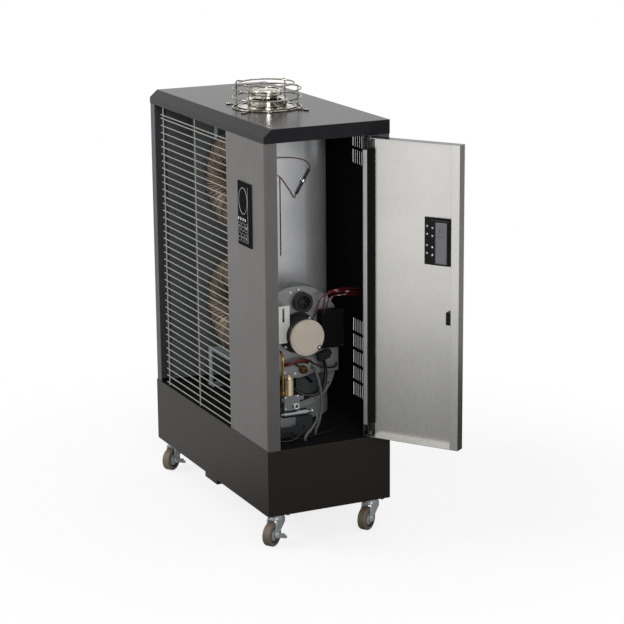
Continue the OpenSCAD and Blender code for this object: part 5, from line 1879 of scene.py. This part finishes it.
@dataclass
class Door:
    """The machine door with its handle, seal and catch.

    Attributes:
        frame: The loaded frame.
        cover: Y and Z of the handle cover's middle with the door shut, in millimetres.
        cover_size: The cover's width, height and thickness.
        cover_back: X of the cover's back.
        marks: Offset, width and height of the cover's slot and seam.
        screw_columns: X and Y of each column of handle screws.
        screw_rows: Z of each pair of handle screws.
    """

    frame: dict[str, Any]
    cover: Pair = (-87.0, 826.0)
    cover_size: Point = (33.0, 110.0, 3.9)
    cover_back: float = 373.5
    marks: tuple[tuple[float, float, float, float], ...] = (
        (-2, 35, 1.6, 8.5),
        (0, 17.5, 26.4, 0.7),
    )
    screw_columns: tuple[Pair, ...] = ((390.5, -37.5), (373.5, -61.5))
    screw_rows: tuple[float, ...] = (793, 814, 844, 865)

    def build(self) -> None:
        """Dresses the door's nodes and adds the handle's cover and screws."""
        joint = next(j for j in self.frame["joints"] if j["name"] == "door_hinge")
        turn = math.radians(-joint["range_deg"][0])
        hinge = tuple(joint["pos_m"])
        # Brushed stainless steel: a bright sheet whose sheen runs upright, with painted shade in
        # dark grey along the inside of its hinge side.
        skin = TwoSided(
            "brushed_door_steel",
            "#d3d2ce",
            0.28,
            1.0,
            grain=0.5,
            depth=0.04,
            edge=1.0,
            patch=160.0,
            unevenness=0.04,
            axis=Axis.Z,
            hinge=hinge,
            turn=turn,
            low=(0.30, -0.1422, 0.274),
            # The bare box stops short of the hinge side: a strip of inside there takes the paint as
            # painted shade.
            high=(0.3945, 0.1175, 1.0876),
        )
        dress(
            self.frame,
            {
                "door_panel": skin,
                "door_seal": FOAM,
                "hinge_stile": ALUMINISED,
                "handle_cup": BLACK_ABS,
                "handle_paddle": BLACK_ABS,
                "door_catch": BLACK_ABS,
                "hinge_brackets": HINGE_STEEL,
            },
        )
        swing = Matrix.Translation(hinge) @ Matrix.Rotation(turn, 4, "Z")
        self.handle(swing @ Matrix.Translation(-Vector(hinge)))

    def handle(self, opened: Matrix) -> None:
        """Moulds the grey cover with its black slot and seam, and sets its screws.

        Args:
            opened: Swings a piece of the shut door to where it stands open.
        """
        wall = upright(LEFT, mm(self.cover_back, *self.cover))
        shape = bmesh.new()
        add_slab(shape, opened @ wall, self.cover_size, 2, 3)
        cover = finish_piece("handle_shell", shape, GREY_ABS, "door")
        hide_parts("handle_cover")
        shape = bmesh.new()
        face = wall @ Matrix.Translation(mm(0, 0, 3.75))
        for dx, dz, wide, tall in self.marks:
            place = opened @ face @ Matrix.Translation(mm(dx, dz, 0))
            add_slab(shape, place, (wide, tall, 0.3), 0.3, 0.1)
        marks = finish_piece("handle_seam", shape, BLACK_ABS, "door")
        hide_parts("handle_cover")
        tree = screws_on_a_circle(ZINC)
        shape = bmesh.new()
        for x, y in self.screw_columns:
            for z in self.screw_rows:
                add_screws(shape, tree, 2.1, opened @ upright(LEFT, mm(x, y, z)))
        finish_piece("handle_screws", shape, ZINC, "door")


@dataclass
class Casters:
    """The four swivel casters and the two brake pedals.

    Attributes:
        frame: The loaded frame.
        hub_radius: Radius of a wheel's hub with the ring round it, in metres.
        rim_width: Width of that ring.
    """

    frame: dict[str, Any]
    hub_radius: float = 23 * MM
    rim_width: float = 7 * MM

    def build(self) -> None:
        """Dresses forks, wheels and pedals."""
        axles = {j["name"]: j for j in self.frame["joints"]}
        for corner in ("front_right", "front_left", "rear_right", "rear_left"):
            axle = axles["axle_" + corner]
            # Moulded tread on a grey hub: a dusty brown with no gloss.
            wheel = RoundZones(
                "caster_wheel_" + corner,
                "#665b4d",
                0.6,
                grain=0.8,
                depth=0.2,
                edge=1.0,
                edge_wear_and_highlight=0.1,
                centre=tuple(axle["pos_m"]),
                along=tuple(axle["axis"]),
                reach=self.hub_radius,
                hub="#99a2a2",
                rim_width=self.rim_width,
            )
            dress(
                self.frame,
                {"caster_fork_" + corner: CASTER_ZINC, "caster_wheel_" + corner: wheel},
            )
        pedals = ("brake_pedal_front_right", "brake_pedal_front_left")
        dress(self.frame, {pedal: CASTER_ZINC for pedal in pedals})


def main() -> None:
    """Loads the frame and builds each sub-assembly in order."""
    logging.basicConfig(level=logging.INFO, format="%(name)s: %(message)s")
    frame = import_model()
    Studio().build()
    for assembly in (Cabinet, ControlPanel, HeatExchanger, Burner, FuelSystem, Door, Casters):
        assembly(frame).build()


if __name__ == "__main__":
    main()
